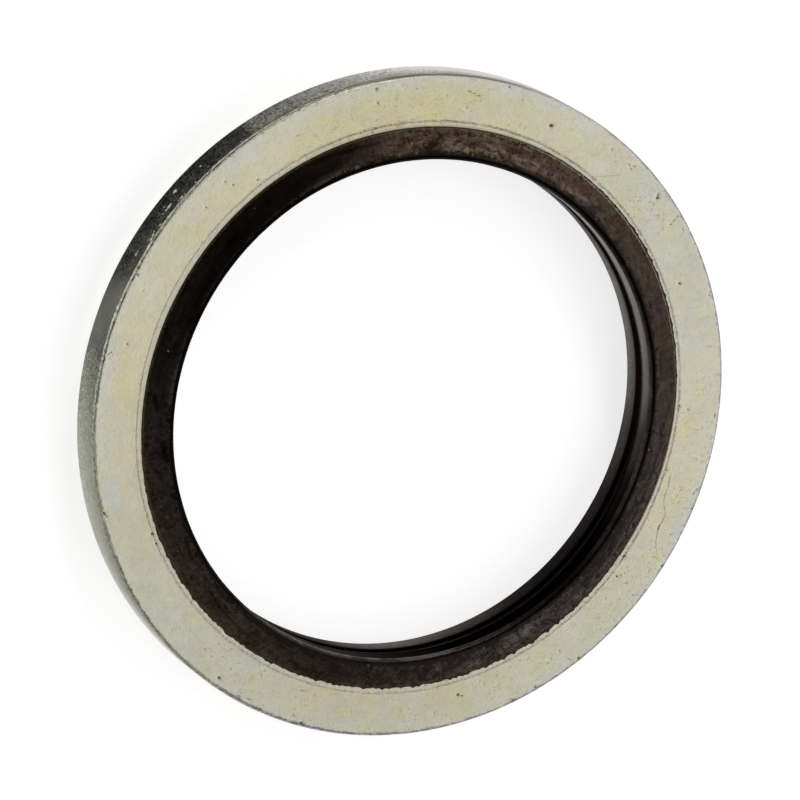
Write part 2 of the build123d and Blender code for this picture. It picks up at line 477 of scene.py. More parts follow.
# The feather of flash, from the foot of the flank out and over to the steel: how far out each of its
# points is as a share of the feather's reach, and how high it stands over the steel.
FEATHER_SHARE = np.array([0.0, 1.0, 0.93, 0.5, 0.1])
FEATHER_HEIGHT = np.array([0.0, 0.0, 0.008, 0.014, 0.009]) * MM
# The one long tongue of flash: its azimuth and half width in degrees.
TONGUE_AZIMUTH = 30
TONGUE_WIDTH = 2.4


def rubber_section(size):
    """The seal's section as (radius, height above the middle), counter-clockwise from the lower end
    of the bond: up the bond, over the feather of flash, the upper flank and the lip, down the land,
    round the waist groove, and the same again mirrored, in longer steps."""
    bond, bevel, half = BOND_RADIUS, size.bond_bevel, HALF_THICKNESS
    wall = line((bond, bevel - half), (bond, half - bevel), BOND_POINTS - 1)
    feather = np.array([(bond + bevel, half)] * FEATHER_SHARE.size)
    upper = half_section(size, 27, 16, 9, 8)
    lower = half_section(size, 12, 8, 4, 6)[::-1] * (1, -1)
    return np.concatenate([wall, [(bond, half - bevel)], feather, upper[1:], lower])


def half_section(size, flank_steps, tip_steps, land_steps, groove_steps):
    """The upper half of the free outline, from the foot of the flank to the root of the groove: a
    straight flank that meets the lip's circle at a tangent, the circle, the straight land and one
    side of the groove."""
    tip = size.lip_rounding
    crest = (SEAL_BORE + tip, HALF_SEAL_HEIGHT - tip)
    foot = (BOND_RADIUS + size.bond_bevel, HALF_THICKNESS)
    lean = flank_lean(crest, tip, foot)
    leave = (crest[0] + tip * math.cos(lean), crest[1] + tip * math.sin(lean))
    mouth = (SEAL_BORE, size.groove_half_width)
    root = (SEAL_BORE + size.groove_depth, 0.15 * size.groove_half_width)
    return np.concatenate([
        line(foot, leave, flank_steps),
        corner(crest, tip, math.degrees(lean), 180, tip_steps),
        line((SEAL_BORE, crest[1]), mouth, land_steps),
        groove_side(mouth, root, groove_steps),
        [root],
    ])


def flank_lean(centre, radius, foot):
    """Angle at which the straight flank from the foot leaves the lip's circle: the direction from
    the centre to the foot plus the arc cosine of radius over their distance."""
    along, up = foot[0] - centre[0], foot[1] - centre[1]
    return math.atan2(up, along) + math.acos(radius / math.hypot(along, up))


def groove_side(start, end, steps):
    """One side of the groove, the last point left out: with ease = t t (3 - 2 t), the radius goes
    from start to end by ease, and the height by the mean of t and ease."""
    t = np.arange(steps) / steps
    ease = t * t * (3 - 2 * t)
    mean = 0.5 * t + 0.5 * ease
    radius = start[0] + (end[0] - start[0]) * ease
    height = start[1] + (end[1] - start[1]) * mean
    return np.stack([radius, height], -1)


def feather_reach(angle, size):
    """How far the feather of flash runs out over the steel: by azimuth, with a ragged edge, and
    furthest in one short tongue."""
    ragged = 0.5 + 0.5 * ripple(angle, (41, 67, 97, 131, 173, 227, 271), 29)
    tongue = np.exp(-((np.degrees(turn_from(angle, TONGUE_AZIMUTH)) / TONGUE_WIDTH) ** 2))
    teeth = np.minimum(0.3 + 0.7 * (2 * ragged) ** 3, 2.2)
    reach = by_azimuth(angle, FLASH_REACH) * size.flash_width * teeth
    return 0.003 * MM + reach + size.flash_width * tongue * ragged


def rubber_seal(size):
    """The section carried round the axis, pushed in by a slow unevenness, its bore a little off
    centre. On some stretches the foot of its flank stops short on the steel's bevel, and on others a
    feather of flash runs out over the steel's face."""
    section = rubber_section(size)
    angle, radius, level = carried_round(section, size.rubber_steps)
    normal = outward(section)
    foot = BOND_RADIUS + size.bond_bevel
    free = section[:, 0] < foot - 0.02 * MM
    free &= (np.abs(section[:, 1]) > HALF_THICKNESS) | (section[:, 0] < BOND_RADIUS - 0.02 * MM)
    waves = ripple(angle, (2, 3, 5, 7, 12, 19, 33), 23)[:, None]
    across = np.sin(section[None, :, 0] / (0.16 * MM) + 3 * waves)
    depth = UNEVENNESS * (2 + waves + across) * free
    radius -= normal[:, 0] * depth
    level -= normal[:, 1] * depth

    lean = np.cos(angle - size.seal_leans_to)
    narrow = (size.bore_shrink - size.bore_offset * lean)[:, None]
    inner = np.clip((foot - 0.25 * MM - section[:, 0]) / (0.7 * MM), 0, 1)
    radius -= narrow * inner
    slide = size.foot_slide * by_azimuth(angle, FOOT_SLIDE)[:, None]
    upper_side = section[:, 1] > HALF_THICKNESS - 1e-7
    upper_side &= section[:, 0] > SEAL_BORE + size.lip_rounding
    ease = np.clip(1 - (foot - section[:, 0]) / (0.5 * MM), 0, 1) ** 2 * upper_side
    radius -= slide * ease
    level -= slide * ease
    foot_radius = foot - slide
    feather = slice(BOND_POINTS, BOND_POINTS + FEATHER_SHARE.size)
    radius[:, feather] = foot_radius + feather_reach(angle, size)[:, None] * FEATHER_SHARE
    steel = HALF_THICKNESS - np.maximum(foot - radius[:, feather], 0.0)
    level[:, feather] = steel + FEATHER_HEIGHT

    fields = {
        "dark_smears": smears(angle, radius, DARK_SMEARS) * upper_side,
        "light_smears": smears(angle, radius, LIGHT_SMEARS) * upper_side,
        "dust": np.where(upper_side, nearness(angle, radius, dots(DUST_SPECKS)), FAR),
        "from_foot": np.where(upper_side, (radius - foot_radius) / MM, -2.0),
    }
    return turned_mesh("rubber_seal_moulded", angle, radius, MID_HEIGHT + level, fields)


# ----------------------------------------------------------------------------------------- finishes


class Value:
    """One output socket of a shader node, so that shader maths reads as plain expressions."""

    def __init__(self, finish, socket):
        self.finish = finish
        self.socket = socket

    def __add__(self, other):
        return self.finish.maths("ADD", self, other)

    def __radd__(self, other):
        return self.finish.maths("ADD", other, self)

    def __sub__(self, other):
        return self.finish.maths("SUBTRACT", self, other)

    def __rsub__(self, other):
        return self.finish.maths("SUBTRACT", other, self)

    def __mul__(self, other):
        return self.finish.maths("MULTIPLY", self, other)

    def __rmul__(self, other):
        return self.finish.maths("MULTIPLY", other, self)

    def __truediv__(self, other):
        return self.finish.maths("DIVIDE", self, other)

    def __rtruediv__(self, other):
        return self.finish.maths("DIVIDE", other, self)

    def __abs__(self):
        return self.finish.maths("ABSOLUTE", self)

    def rising(self, low, high):
        """0 below low, 1 above high and a smooth step between."""
        return self.finish.node("ShaderNodeMapRange", {"interpolation_type": "SMOOTHSTEP"},
                                {"Value": self, "From Min": low, "From Max": high})

    def falling(self, low, high):
        """1 below low, 0 above high and a smooth step between."""
        return 1 - self.rising(low, high)

    def held(self):
        """Held between 0 and 1."""
        return self.at_least(0.0).at_most(1.0)

    def at_least(self, low):
        """The value, or low where it is below that."""
        return self.finish.maths("MAXIMUM", self, low)

    def at_most(self, high):
        """The value, or high where it is above that."""
        return self.finish.maths("MINIMUM", self, high)


class Nodes:
    """A node tree, emptied and built again from values and colours."""

    def __init__(self, tree):
        self.tree = tree
        self.tree.nodes.clear()

    def node(self, kind, settings=None, inputs=None, output=0):
        """Adds a node: its settings first (a ramp's stops among them), then its sockets' values or
        links."""
        made = self.tree.nodes.new(kind)
        for key, value in (settings or {}).items():
            if key == "stops":
                self.set_stops(made.color_ramp, value)
            elif key == "blend":
                made.color_ramp.interpolation = value
            else:
                setattr(made, key, value)
        for key, value in (inputs or {}).items():
            if isinstance(value, Value):
                self.tree.links.new(value.socket, made.inputs[key])
            else:
                made.inputs[key].default_value = value
        return Value(self, made.outputs[output]) if len(made.outputs) else None

    def set_stops(self, ramp, stops):
        """Puts the stops, each a position and a shade of grey, on a colour ramp."""
        while len(ramp.elements) < len(stops):
            ramp.elements.new(0.5)
        for element, (position, shade) in zip(ramp.elements, stops):
            element.position = position
            element.color = (shade, shade, shade, 1.0)

    def ramp(self, value, stops, blend="EASE"):
        """A curve through stops, read at value."""
        return self.node("ShaderNodeValToRGB", {"stops": stops, "blend": blend}, {"Fac": value})

    def maths(self, operation, first, second=0.0):
        """A Math node on one or two values."""
        return self.node("ShaderNodeMath", {"operation": operation}, {0: first, 1: second})

    def vector(self, x, y, z):
        """A vector from three values."""
        return self.node("ShaderNodeCombineXYZ", None, {0: x, 1: y, 2: z})

    def vector_maths(self, operation, *inputs):
        """A Vector Math node on vectors or colours."""
        return self.node("ShaderNodeVectorMath", {"operation": operation}, dict(enumerate(inputs)))

    def mix(self, first, second, factor):
        """The first colour at factor 0, the second at 1."""
        inputs = {6: colour4(first), 7: colour4(second), 0: factor}
        return self.node("ShaderNodeMix", {"data_type": "RGBA"}, inputs, 2)

    def tinted(self, colour, amount):
        """A colour made lighter or darker: each channel times amount."""
        return self.product(colour, self.vector(amount, amount, amount))

    def product(self, first, second):
        """Two colours multiplied channel by channel."""
        return self.vector_maths("MULTIPLY", colour3(first), colour3(second))


class Finish(Nodes):
    """A material and its nodes."""

    def __init__(self, name):
        self.material = bpy.data.materials.new(name)
        self.material.use_nodes = True
        super().__init__(self.material.node_tree)

    def shader(self, **inputs):
        """A Principled shader."""
        names = {key.replace("_", " "): value for key, value in inputs.items()}
        return self.node("ShaderNodeBsdfPrincipled", None, names)

    def end(self, shader):
        """Ends the material in a shader."""
        self.node("ShaderNodeOutputMaterial", None, {"Surface": shader})
        return self.material


class RingFinish(Finish):
    """A finish that knows each point's place on the ring in Object coordinates: place in
    millimetres, azimuth as a share of a turn, radius and height above the middle in millimetres."""

    def __init__(self, name):
        super().__init__(name)
        place = self.node("ShaderNodeTexCoord", None, None, "Object")
        millimetres = {0: place, "Scale": 1 / MM}
        self.place = self.node("ShaderNodeVectorMath", {"operation": "SCALE"}, millimetres)
        split = self.node("ShaderNodeSeparateXYZ", None, {0: self.place}).socket.node
        self.x, self.y, z = (Value(self, part) for part in split.outputs)
        self.azimuth = self.maths("FRACT", self.maths("ARCTAN2", self.y, self.x) / TURN + 1.0)
        self.radius = self.maths("SQRT", self.x * self.x + self.y * self.y)
        self.height = z - MID_HEIGHT / MM

    def round_ring(self, stops, blend="EASE"):
        """A curve by azimuth, its stops in degrees."""
        return self.ramp(self.azimuth, [(degrees / 360, value) for degrees, value in stops], blend)

    def unrolled(self, reach, depth):
        """A place for patterns that follow the ring: the direction from the axis times reach, with
        depth as its third part."""
        return self.vector(self.x / self.radius * reach, self.y / self.radius * reach, depth)

    def noise(self, scale, detail, rough, twist, shift=0.0, place=None, output="Fac"):
        """Noise from 0 to 1, its blobs about 1 / scale mm across."""
        moved = self.vector_maths("ADD", place or self.place, (shift, shift, shift))
        return self.node("ShaderNodeTexNoise", None, {
            "Vector": moved, "Scale": scale, "Detail": detail, "Roughness": rough,
            "Distortion": twist}, output)

    def hues(self, scale, amount, shift):
        """A tint that wanders: in each channel 1 plus that channel's amount times noise from -0.5
        to 0.5."""
        noise = self.noise(scale, 3.0, 0.6, 0.6, shift, output="Color")
        base = tuple(1.0 - 0.5 * channel for channel in amount)
        return self.vector_maths("MULTIPLY_ADD", noise, amount, base)

    def drawn_out(self, degrees, along, beside, shift=0.0):
        """Noise from 0 to 1 whose blobs are drawn out at an angle to +X: along and beside are its
        blobs per mm."""
        turned = self.node("ShaderNodeMapping", None, {
            "Vector": self.place, "Location": (shift, shift, 0.0),
            "Rotation": (0.0, 0.0, math.radians(-degrees)), "Scale": (along, beside, 1.0)})
        return self.node("ShaderNodeTexNoise", None, {
            "Vector": turned, "Scale": 1.0, "Detail": 2.0, "Roughness": 0.6, "Distortion": 0.15})

    def field(self, name):
        """A field stored on the mesh's points."""
        return self.node("ShaderNodeAttribute", {"attribute_name": name}, None, "Fac")

    def bump(self, height, depth):
        """A normal tilted by a height field that stands depth metres proud at 1."""
        return self.node("ShaderNodeBump", None, {"Height": height, "Distance": depth})


def colour4(value):
    """A plain colour with its alpha, or a link as it is."""
    return value if isinstance(value, Value) else (*value, 1.0)


def colour3(value):
    """A plain colour as three numbers, or a link as it is."""
    return value if isinstance(value, Value) else tuple(value)


# ------------------------------------------------------------------------------ finish of the steel

OLIVE_FLECK = (0.36, 0.32, 0.11)
FINE_SCRATCH = (0.24, 0.22, 0.17)
SPOKE_DIRT = (0.24, 0.21, 0.15)
BAND_DIRT = (0.20, 0.175, 0.11)
SCRIBE_DIRT = (0.10, 0.082, 0.045)
FOOT_DARKENING = (0.20, 0.17, 0.12)
CRACK_DIRT = (0.14, 0.11, 0.065)
PIT_DIRT = (0.045, 0.04, 0.02)
SCRATCH_DIRT = (0.10, 0.09, 0.06)
# Colours of the edge's dark line, a painted reflection of shade.
GREY_EDGE_LINE = (0.15, 0.145, 0.17)
OLIVE_EDGE_LINE = (0.075, 0.075, 0.045)
BLUE_FRINGE = (0.545, 0.545, 0.585)
BARE_GLINT = (0.70, 0.70, 0.68)
# Painted highlight in broken dashes along the edge slope.
DASH_HIGHLIGHT = (0.70, 0.71, 0.63)
# Painted glint where the rim is knocked.
KNOCK_GLINT = (0.66, 0.66, 0.60)
# Dark mottle within the painted dark reflection of the rim.
RIM_DARK_MOTTLE = (0.075, 0.075, 0.035)
RIM_GRIT = (0.12, 0.12, 0.115)
RIM_BROWNING = (0.48, 0.44, 0.32)
PLATE_SPECULAR_TINT = (0.45, 0.45, 0.45, 1.0)
# Radii in millimetres: the one that the edge line's place is counted from, and those of the inner
# band and of the rim, for patterns that follow them.
EDGE_LINE_RADIUS = 14.90
BAND_RADIUS = 12.9
RIM_RADIUS = 15.0


class PlateFinish(RingFinish):
    """The zinc plate's finish, with the masks and patterns that its layers share. The patterns go
    from cloud, with blobs of two millimetres, down to fine, with blobs of a tenth."""

    def __init__(self):
        super().__init__("zinc_plated_steel")
        self.turn = self.field("edge_turn")
        self.on_top = self.height.rising(0.8, 0.9) * self.turn.falling(0.05, 0.3)
        self.near_top = self.height.rising(0.6, 0.8)
        self.side = self.turn.rising(0.55, 0.9)
        self.cloud = self.noise(0.45, 3, 0.55, 0.4)
        self.drift = self.noise(0.9, 4, 0.6, 0.6, 7.0)
        self.mottle = self.noise(2.4, 4, 0.6, 0.8, 13.0)
        self.grain = self.noise(5.5, 4, 0.65, 1.2, 29.0)
        self.fine = self.noise(13.0, 2, 0.6, 0.8, 41.0)
        self.speck = self.noise(9.0, 3, 0.7, 0.4, 57.0)
        self.blotch = self.noise(2.2, 4, 0.7, 0.8, 61.0)
        self.fleck = self.noise(6.5, 4, 0.75, 0.7, 43.0)
        self.ink = self.noise(2.2, 4, 0.75, 0.0, 53.0).rising(0.36, 0.62)
        self.wear = self.round_ring(PLATE_WEAR)
        self.olive = self.round_ring(EDGE_OLIVE)
        self.ragged = (self.grain - 0.5) * 0.16 + (self.fine - 0.5) * 0.08 + (self.mottle - 0.5) * 0.06
        run = self.radius - EDGE_LINE_RADIUS + (1.0 - self.height).held()
        self.from_edge = run - 0.5 * self.round_ring(EDGE_LINE_PLACE) + 0.05 + self.ragged


def plate_film(made, size):
    """The colour of the face: plate under a yellow and a blue-grey film, with olive flecks, a slow
    change of tone by azimuth that is partly painted light, a mottle, dark ticks and drawn-out
    scratches. Returns the colour, the ticks and the scratches."""
    film = made.round_ring(YELLOW_FILM) * made.radius.falling(14.0, 14.75)
    film = film * (0.45 + 1.1 * made.drift)
    patches = made.field("yellow_film")
    yellow = film + patches * 0.5 * (0.3 + 0.9 * made.mottle) + (made.cloud - 0.5) * 0.35
    blue = made.field("blue_film") * (0.3 + 0.9 * made.mottle) * 0.8 + (0.46 - made.cloud) * 0.9
    colour = made.mix(size.plate_colour, size.yellow_colour, yellow.held() * 0.95)
    colour = made.mix(colour, size.blue_colour, blue.held() * 0.95)
    flecks = made.speck.rising(0.56, 0.66) * (yellow - 0.45).held() + patches.rising(1.8, 3.2)
    colour = made.mix(colour, OLIVE_FLECK, flecks.held() * 0.6)

    ticks = made.noise(7.0, 2, 0.6, 0.9, 83.0).rising(0.62, 0.72)
    ticks = ticks * (made.drift * 0.5 + made.cloud * 0.5).rising(0.4, 0.6) * made.wear
    # Partly painted light: lighter or darker by azimuth to even out how the key light falls.
    tone = (made.round_ring(PLATE_TONE_AND_LIGHT) - 0.5) * 0.4
    small = (made.grain - 0.5) * 0.20 + (made.fine - 0.5) * 0.16
    shade = 1.0 + tone + (made.mottle - 0.5) * 0.32 + (made.drift - 0.5) * 0.22
    shade = shade + small * (0.1 + made.wear) - ticks * 0.15
    colour = made.product(made.tinted(colour, shade), made.hues(0.8, (0.14, 0.09, 0.52), 5.0))
    colour = made.product(colour, made.hues(2.6, (0.08, 0.05, 0.20), 9.0))
    scratches = made.drawn_out(25, 0.55, 11.0) + made.drawn_out(118, 0.5, 12.0, 3.0)
    scratches = scratches.rising(1.24, 1.38) * made.wear
    return made.mix(colour, FINE_SCRATCH, scratches * 0.42), ticks, scratches


def scribed_band(made, size, colour):
    """The scribed line, inked in places, the duller band inside it with spokes of dirt, and a darker
    ragged band on the steel beside the foot of the rubber. Returns the colour, the line and the
    relief of the spokes."""
    from_scribe = made.field("from_scribe") + (made.grain - 0.5) * 0.12 + (made.fine - 0.5) * 0.05
    inked = 0.25 + 0.5 * made.ink + 0.6 * made.speck.rising(0.48, 0.6)
    scribed = made.round_ring(SCRIBE_STRENGTH) * inked
    scribe = (abs(from_scribe).falling(0.01, 0.085) * scribed * made.on_top).held()
    band = from_scribe.falling(-0.05, 0.0) * made.on_top
    band_wear = made.round_ring(BAND_WEAR)
    across = made.unrolled(BAND_RADIUS, made.radius * 0.25)
    spokes = made.noise(8.0, 3, 0.7, 0.6, 97.0, across)
    colour = made.mix(colour, size.band_colour, band * (0.8 - 0.4 * band_wear))
    colour = made.mix(colour, SPOKE_DIRT, spokes.rising(0.52, 0.66) * band * band_wear * 0.5)
    rough_band = from_scribe.falling(0.05, 0.14) * made.on_top * made.speck.rising(0.54, 0.66)
    colour = made.mix(colour, BAND_DIRT, rough_band * band_wear * 0.4)
    colour = made.mix(colour, SCRIBE_DIRT, scribe * 0.66)
    # Darker ragged band on the steel beside the foot of the rubber.
    foot_darkening = (made.radius + (made.grain - 0.5) * 0.08).falling(12.71, 12.83) * made.on_top
    colour = made.mix(colour, FOOT_DARKENING, foot_darkening * (0.5 + 0.4 * made.fine))
    return colour, scribe, spokes * band


def hair_crack(made):
    """The hair crack: thin where the radius is that of its path, and faded at both ends."""
    along = (made.azimuth - CRACK_START / 360) / ((CRACK_END - CRACK_START) / 360)
    path = CRACK_RADIUS + CRACK_REACH * made.ramp(along.held(), CRACK_PATH, "LINEAR")
    crack = abs(made.radius - path + (made.grain - 0.5) * 0.16).falling(0.006, 0.04)
    ends = along.rising(0.0, 0.25) * along.falling(0.94, 1.0)
    return crack * ends * (0.35 + made.ink * 0.65) * made.on_top


def outer_edge(made, colour):
    """The outer edge of the face: a ragged dark line that is painted reflection of shade along the
    rounding, chips beside it, a bluish fringe where it isn't olive, and small bright glints of bare
    steel near it."""
    blotches = made.noise(1.6, 3, 0.7, 0.4, 47.0).rising(0.4, 0.65)
    line_width = 0.05 + 0.05 * blotches
    # Painted reflection: the dark line stands in for shade that the edge's rounding mirrors.
    dark_line = 1.0 - (abs(made.from_edge) / line_width).rising(0.3, 1.1)
    dark_line = dark_line * (0.4 + 1.3 * made.ink).held() * made.near_top
    chip_zone = made.radius.rising(14.78, 14.90) * made.round_ring(EDGE_CHIPS)
    chips = made.noise(3.6, 3, 0.7, 0.3, 37.0).rising(0.56, 0.66) * chip_zone
    dark_line = (dark_line + chips * made.near_top * made.turn.falling(0.5, 0.9)).held()
    line_colour = made.mix(GREY_EDGE_LINE, OLIVE_EDGE_LINE, made.olive)
    fringe = (made.radius + made.ragged).rising(14.80, 14.93) * made.near_top * (1.0 - made.olive)
    colour = made.mix(colour, BLUE_FRINGE, fringe * 0.55)
    glints = made.noise(11.0, 2, 0.6, 0.5, 73.0).rising(0.60, 0.72)
    glints = glints * made.radius.rising(14.4, 14.8) * made.wear * made.on_top
    colour = made.mix(colour, BARE_GLINT, glints * 0.6)
    return made.mix(colour, line_colour, dark_line * made.round_ring(EDGE_DARKNESS))


def rim_finish(made, size):
    """The colour of the rim: its tone by azimuth and height is painted reflection, dark where the rim
    mirrors shade and lighter where it mirrors the lit floor, made uneven by blotches, flecks, grit
    and streaks, with dark mottles and grey grit in the painted dark reflection, a brown band along
    its top and embossed marks. Returns the colour and the relief of the marks."""
    # Painted reflection: the tone by azimuth, its change with height and the dark stretch stand in for
    # what the metal mirrors.
    dark_reflection = made.round_ring(RIM_DARK_REFLECTION, "LINEAR")
    stepped = made.height.rising(-0.35, 0.5) * 1.1 - 0.55
    lift = made.height + (stepped - made.height) * dark_reflection
    tilt = 1.0 + (made.round_ring(RIM_REFLECTION_TILT) - 0.5) * 2.0 * lift
    grit = made.noise(10.0, 3, 0.7, 0.4, 91.0).rising(0.38, 0.64) - 0.46
    streaks = made.noise(1.6, 4, 0.7, 0.4, 3.0, made.unrolled(RIM_RADIUS, made.height * 4.0))
    uneven = ((made.blotch - 0.5) * 1.8 + (made.fleck.rising(0.32, 0.68) - 0.5)
              + grit * 1.3 + (streaks - 0.5) * 1.8)
    tone = made.round_ring(RIM_PAINTED_REFLECTION, "LINEAR") * tilt
    tone = tone * (1.0 + uneven * made.round_ring(RIM_UNREST)).at_least(0.1)
    tint = made.mix(size.rim_colour, size.rim_upper_colour, made.height.rising(-0.5, 0.6))
    tint = made.mix(tint, size.rim_olive_colour, made.round_ring(RIM_OLIVE))
    colour = made.product(made.tinted(tint, tone), made.hues(1.8, (0.20, 0.14, 0.44), 21.0))

    # Dark mottles and grey grit, only within the painted dark reflection.
    dark_mottle = made.noise(4.4, 3, 0.75, 0.5, 71.0).rising(0.52, 0.64)
    dark_mottle = dark_mottle * dark_reflection * made.height.rising(-0.4, 0.7)
    colour = made.mix(colour, RIM_DARK_MOTTLE, (dark_mottle * (0.2 + 1.4 * made.blotch)).held())
    grey_grit = grit.rising(0.15, 0.5) * dark_reflection * made.blotch.rising(0.4, 0.6)
    colour = made.mix(colour, RIM_GRIT, grey_grit * 0.6)
    top_band = (made.height + (made.blotch - 0.5) * 0.9).rising(0.45, 0.70)
    top_band = top_band * made.height.falling(0.75, 0.98) * made.round_ring(RIM_TOP_BAND)
    browned = made.product(colour, RIM_BROWNING)
    colour = made.mix(colour, browned, (top_band * (0.3 + 1.4 * made.fleck)).held())

    swell = made.noise(4.8, 3, 0.6, 1.2, 77.0)
    embossed = made.round_ring(RIM_EMBOSSED)
    emboss = swell.rising(0.50, 0.60) * made.side * embossed
    ridge = swell - 0.53
    marks = abs(ridge).falling(0.005, 0.03) - (ridge - 0.03).rising(0.0, 0.05)
    marks = marks * embossed * made.height.rising(-0.3, 0.4)
    return made.tinted(colour, 1.0 + marks * 0.45), emboss


def slope_highlights(made, size, colour):
    """A painted highlight along the slope just below the edge line, with broken painted highlights
    along it, and painted glints where the rim is knocked."""
    from_slope = abs(made.from_edge - 0.13 + (made.fine - 0.5) * 0.1)
    # Painted highlight: a light line along the slope below the edge, where the rounding mirrors light.
    slope = from_slope.falling(0.06, 0.12) * made.near_top * made.olive
    slope_highlight_colour = made.tinted(size.slope_highlight_colour, 0.3 + 1.4 * made.fleck.rising(0.3, 0.7))
    colour = made.mix(colour, slope_highlight_colour, slope * 0.85)
    # Painted highlights: broken bright dashes along the slope below the edge, where its facets mirror
    # the key light.
    dash_place = (from_slope + (made.grain - 0.5) * 0.1).falling(0.02, 0.06) * made.near_top
    dashes = made.noise(3.4, 3, 0.75, 0.8, 67.0).rising(0.46, 0.56)
    dashes = dashes * dash_place * (0.4 + 1.2 * made.fleck) * made.round_ring(EDGE_DASH_HIGHLIGHTS)
    colour = made.mix(colour, DASH_HIGHLIGHT, dashes.held())
    # Painted glints where the rim is knocked.
    knock_glint = made.field("knocks") + (made.fine - 0.5) * 0.8 + (made.grain - 0.5) * 0.6
    return made.mix(colour, KNOCK_GLINT, knock_glint.rising(0.1, 0.6) * 0.9)


def plated_steel(size):
    """Zinc plate under a thin uneven film, with pits, a scribed line and scratches, and a knocked rim
    painted with its reflection, with painted highlights along its edge and painted glints."""
    made = PlateFinish()
    colour, ticks, scratches = plate_film(made, size)
    colour, scribe, spokes = scribed_band(made, size, colour)
    crack = hair_crack(made)
    colour = made.mix(colour, CRACK_DIRT, crack * 0.62)
    pit = (made.field("pits") + (made.fine - 0.5) * 0.7 + (made.grain - 0.5) * 0.4).rising(0.05, 0.6)
    nick = (made.field("scratches") + (made.fine - 0.5) * 0.6).rising(0.1, 0.7)
    colour = made.mix(colour, PIT_DIRT, pit * 0.85)
    colour = made.mix(colour, SCRATCH_DIRT, nick * 0.6)
    colour = outer_edge(made, colour)
    rim_colour, emboss = rim_finish(made, size)
    colour = made.mix(colour, rim_colour, made.side)
    colour = slope_highlights(made, size, colour)

    dirt = (pit + nick * 0.6 + scribe + crack * 0.6).held()
    rough = size.plate_roughness + (made.mottle - 0.5) * 0.16 + (made.grain - 0.5) * 0.14
    rough = rough + dirt * 0.3 - made.side * 0.1
    relief = made.grain * 0.7 + made.fine * 0.35 + made.mottle * 0.7 + ticks * 0.9 - dirt
    relief = relief - scratches * 0.25 + spokes * 0.6
    relief = relief + (made.fleck * 1.2 + emboss * 4.0) * made.side
    return made.end(made.shader(
        Base_Color=colour,
        Roughness=rough,
        Metallic=1.0 - dirt * 0.7,
        Specular_Tint=PLATE_SPECULAR_TINT,
        Normal=made.bump(relief, size.plate_relief),
    ))


# The hair crack: the azimuths where it starts and ends, the radius that its path is counted from and
# how far out from there a value of 1 is, both in mm, and the path by the share of the way along it.
CRACK_START = 324.0
CRACK_END = 340.8
CRACK_RADIUS = 12.9
CRACK_REACH = 2.0
CRACK_PATH = (
    (0.0, 0.79), (0.07, 0.75), (0.13, 0.675), (0.2, 0.56), (0.27, 0.485), (0.33, 0.44), (0.4, 0.42),
    (0.48, 0.44), (0.54, 0.42), (0.58, 0.37), (0.63, 0.29), (0.69, 0.24), (0.77, 0.215),
    (0.86, 0.215), (0.95, 0.185), (1.0, 0.125),
)

# Each curve below is read by azimuth in degrees.
# How worn the plate is.
PLATE_WEAR = (
    (0, 0.8), (20, 0.6), (45, 1.0), (60, 0.8), (80, 1.0), (110, 0.6), (125, 0.3), (150, 0.2),
    (195, 0.3), (225, 0.7), (240, 1.0), (300, 0.8), (330, 1.0), (360, 0.8),
)
# How thick the yellow film is on the inner part of the face.
YELLOW_FILM = (
    (0, 0.0), (30, 0.0), (45, 0.1), (60, 0.5), (75, 0.55), (90, 0.9), (105, 0.7), (120, 0.45),
    (150, 0.3), (165, 0.6), (195, 0.3), (225, 0.0), (255, 0.4), (300, 0.15), (345, 0.4), (360, 0.0),
)
# Tone of the plate, partly painted light that evens out how the key light falls round the face:
# 0.5 leaves it as it is, and 0.1 is 4 percent.
PLATE_TONE_AND_LIGHT = (
    (0, 0.5), (30, 0.46), (60, 0.58), (90, 0.55), (120, 0.67), (150, 0.7), (165, 0.72), (180, 0.6),
    (200, 0.44), (240, 0.29), (270, 0.24), (300, 0.33), (330, 0.41), (345, 0.5), (360, 0.5),
)
# How far out the scribed line strays, in tenths of a millimetre.
SCRIBE_SHIFT = (
    (0, -0.7), (20, -0.65), (40, -0.5), (62, -0.2), (90, 0.3), (120, 0.45), (150, 0.8), (180, 0.45),
    (230, 0.35), (260, 0.75), (290, 0.5), (318, 0.45), (332, -0.2), (347, -0.6), (360, -0.7),
)
# How worn the band inside the scribed line is.
BAND_WEAR = (
    (0, 0.2), (40, 0.2), (60, 0.7), (98, 1.0), (110, 0.9), (130, 0.5), (165, 0.5), (190, 0.8),
    (230, 0.8), (310, 0.9), (330, 0.8), (345, 0.4), (360, 0.2),
)
# How strong the scribed line is.
SCRIBE_STRENGTH = (
    (0, 0.5), (45, 0.55), (60, 0.75), (78, 0.7), (92, 0.6), (101, 0.85), (112, 0.5), (130, 0.35),
    (145, 0.22), (180, 0.22), (188, 0.4), (210, 0.22), (222, 0.35), (265, 0.35), (300, 0.5),
    (335, 0.6), (360, 0.5),
)
# The outer edge: how strong its dark line is, a painted reflection of shade, how olive it is, how
# far out or down the line runs in halves of a millimetre from a radius of 14.85 mm, how chipped the
# edge is, and how many painted highlights in bright dashes it has.
EDGE_DARKNESS = (
    (0, 0.7), (45, 0.7), (62, 0.2), (88, 0.2), (100, 0.7), (110, 0.95), (128, 1.0), (136, 0.85),
    (147, 1.0), (163, 0.95), (180, 0.6), (193, 0.6), (205, 0.8), (223, 0.6), (240, 1.0), (300, 0.8),
    (320, 0.7), (360, 0.7),
)
EDGE_OLIVE = (
    (0, 0.0), (90, 0.1), (105, 1.0), (225, 1.0), (245, 0.0), (360, 0.0),
)
EDGE_LINE_PLACE = (
    (0, 0.2), (62, 0.22), (80, 0.4), (105, 0.45), (118, 0.4), (132, 0.36), (141, 0.29), (150, 0.22),
    (159, 0.27), (168, 0.16), (183, 0.07), (196, 0.07), (213, 0.17), (231, 0.08), (300, 0.15),
    (360, 0.2),
)
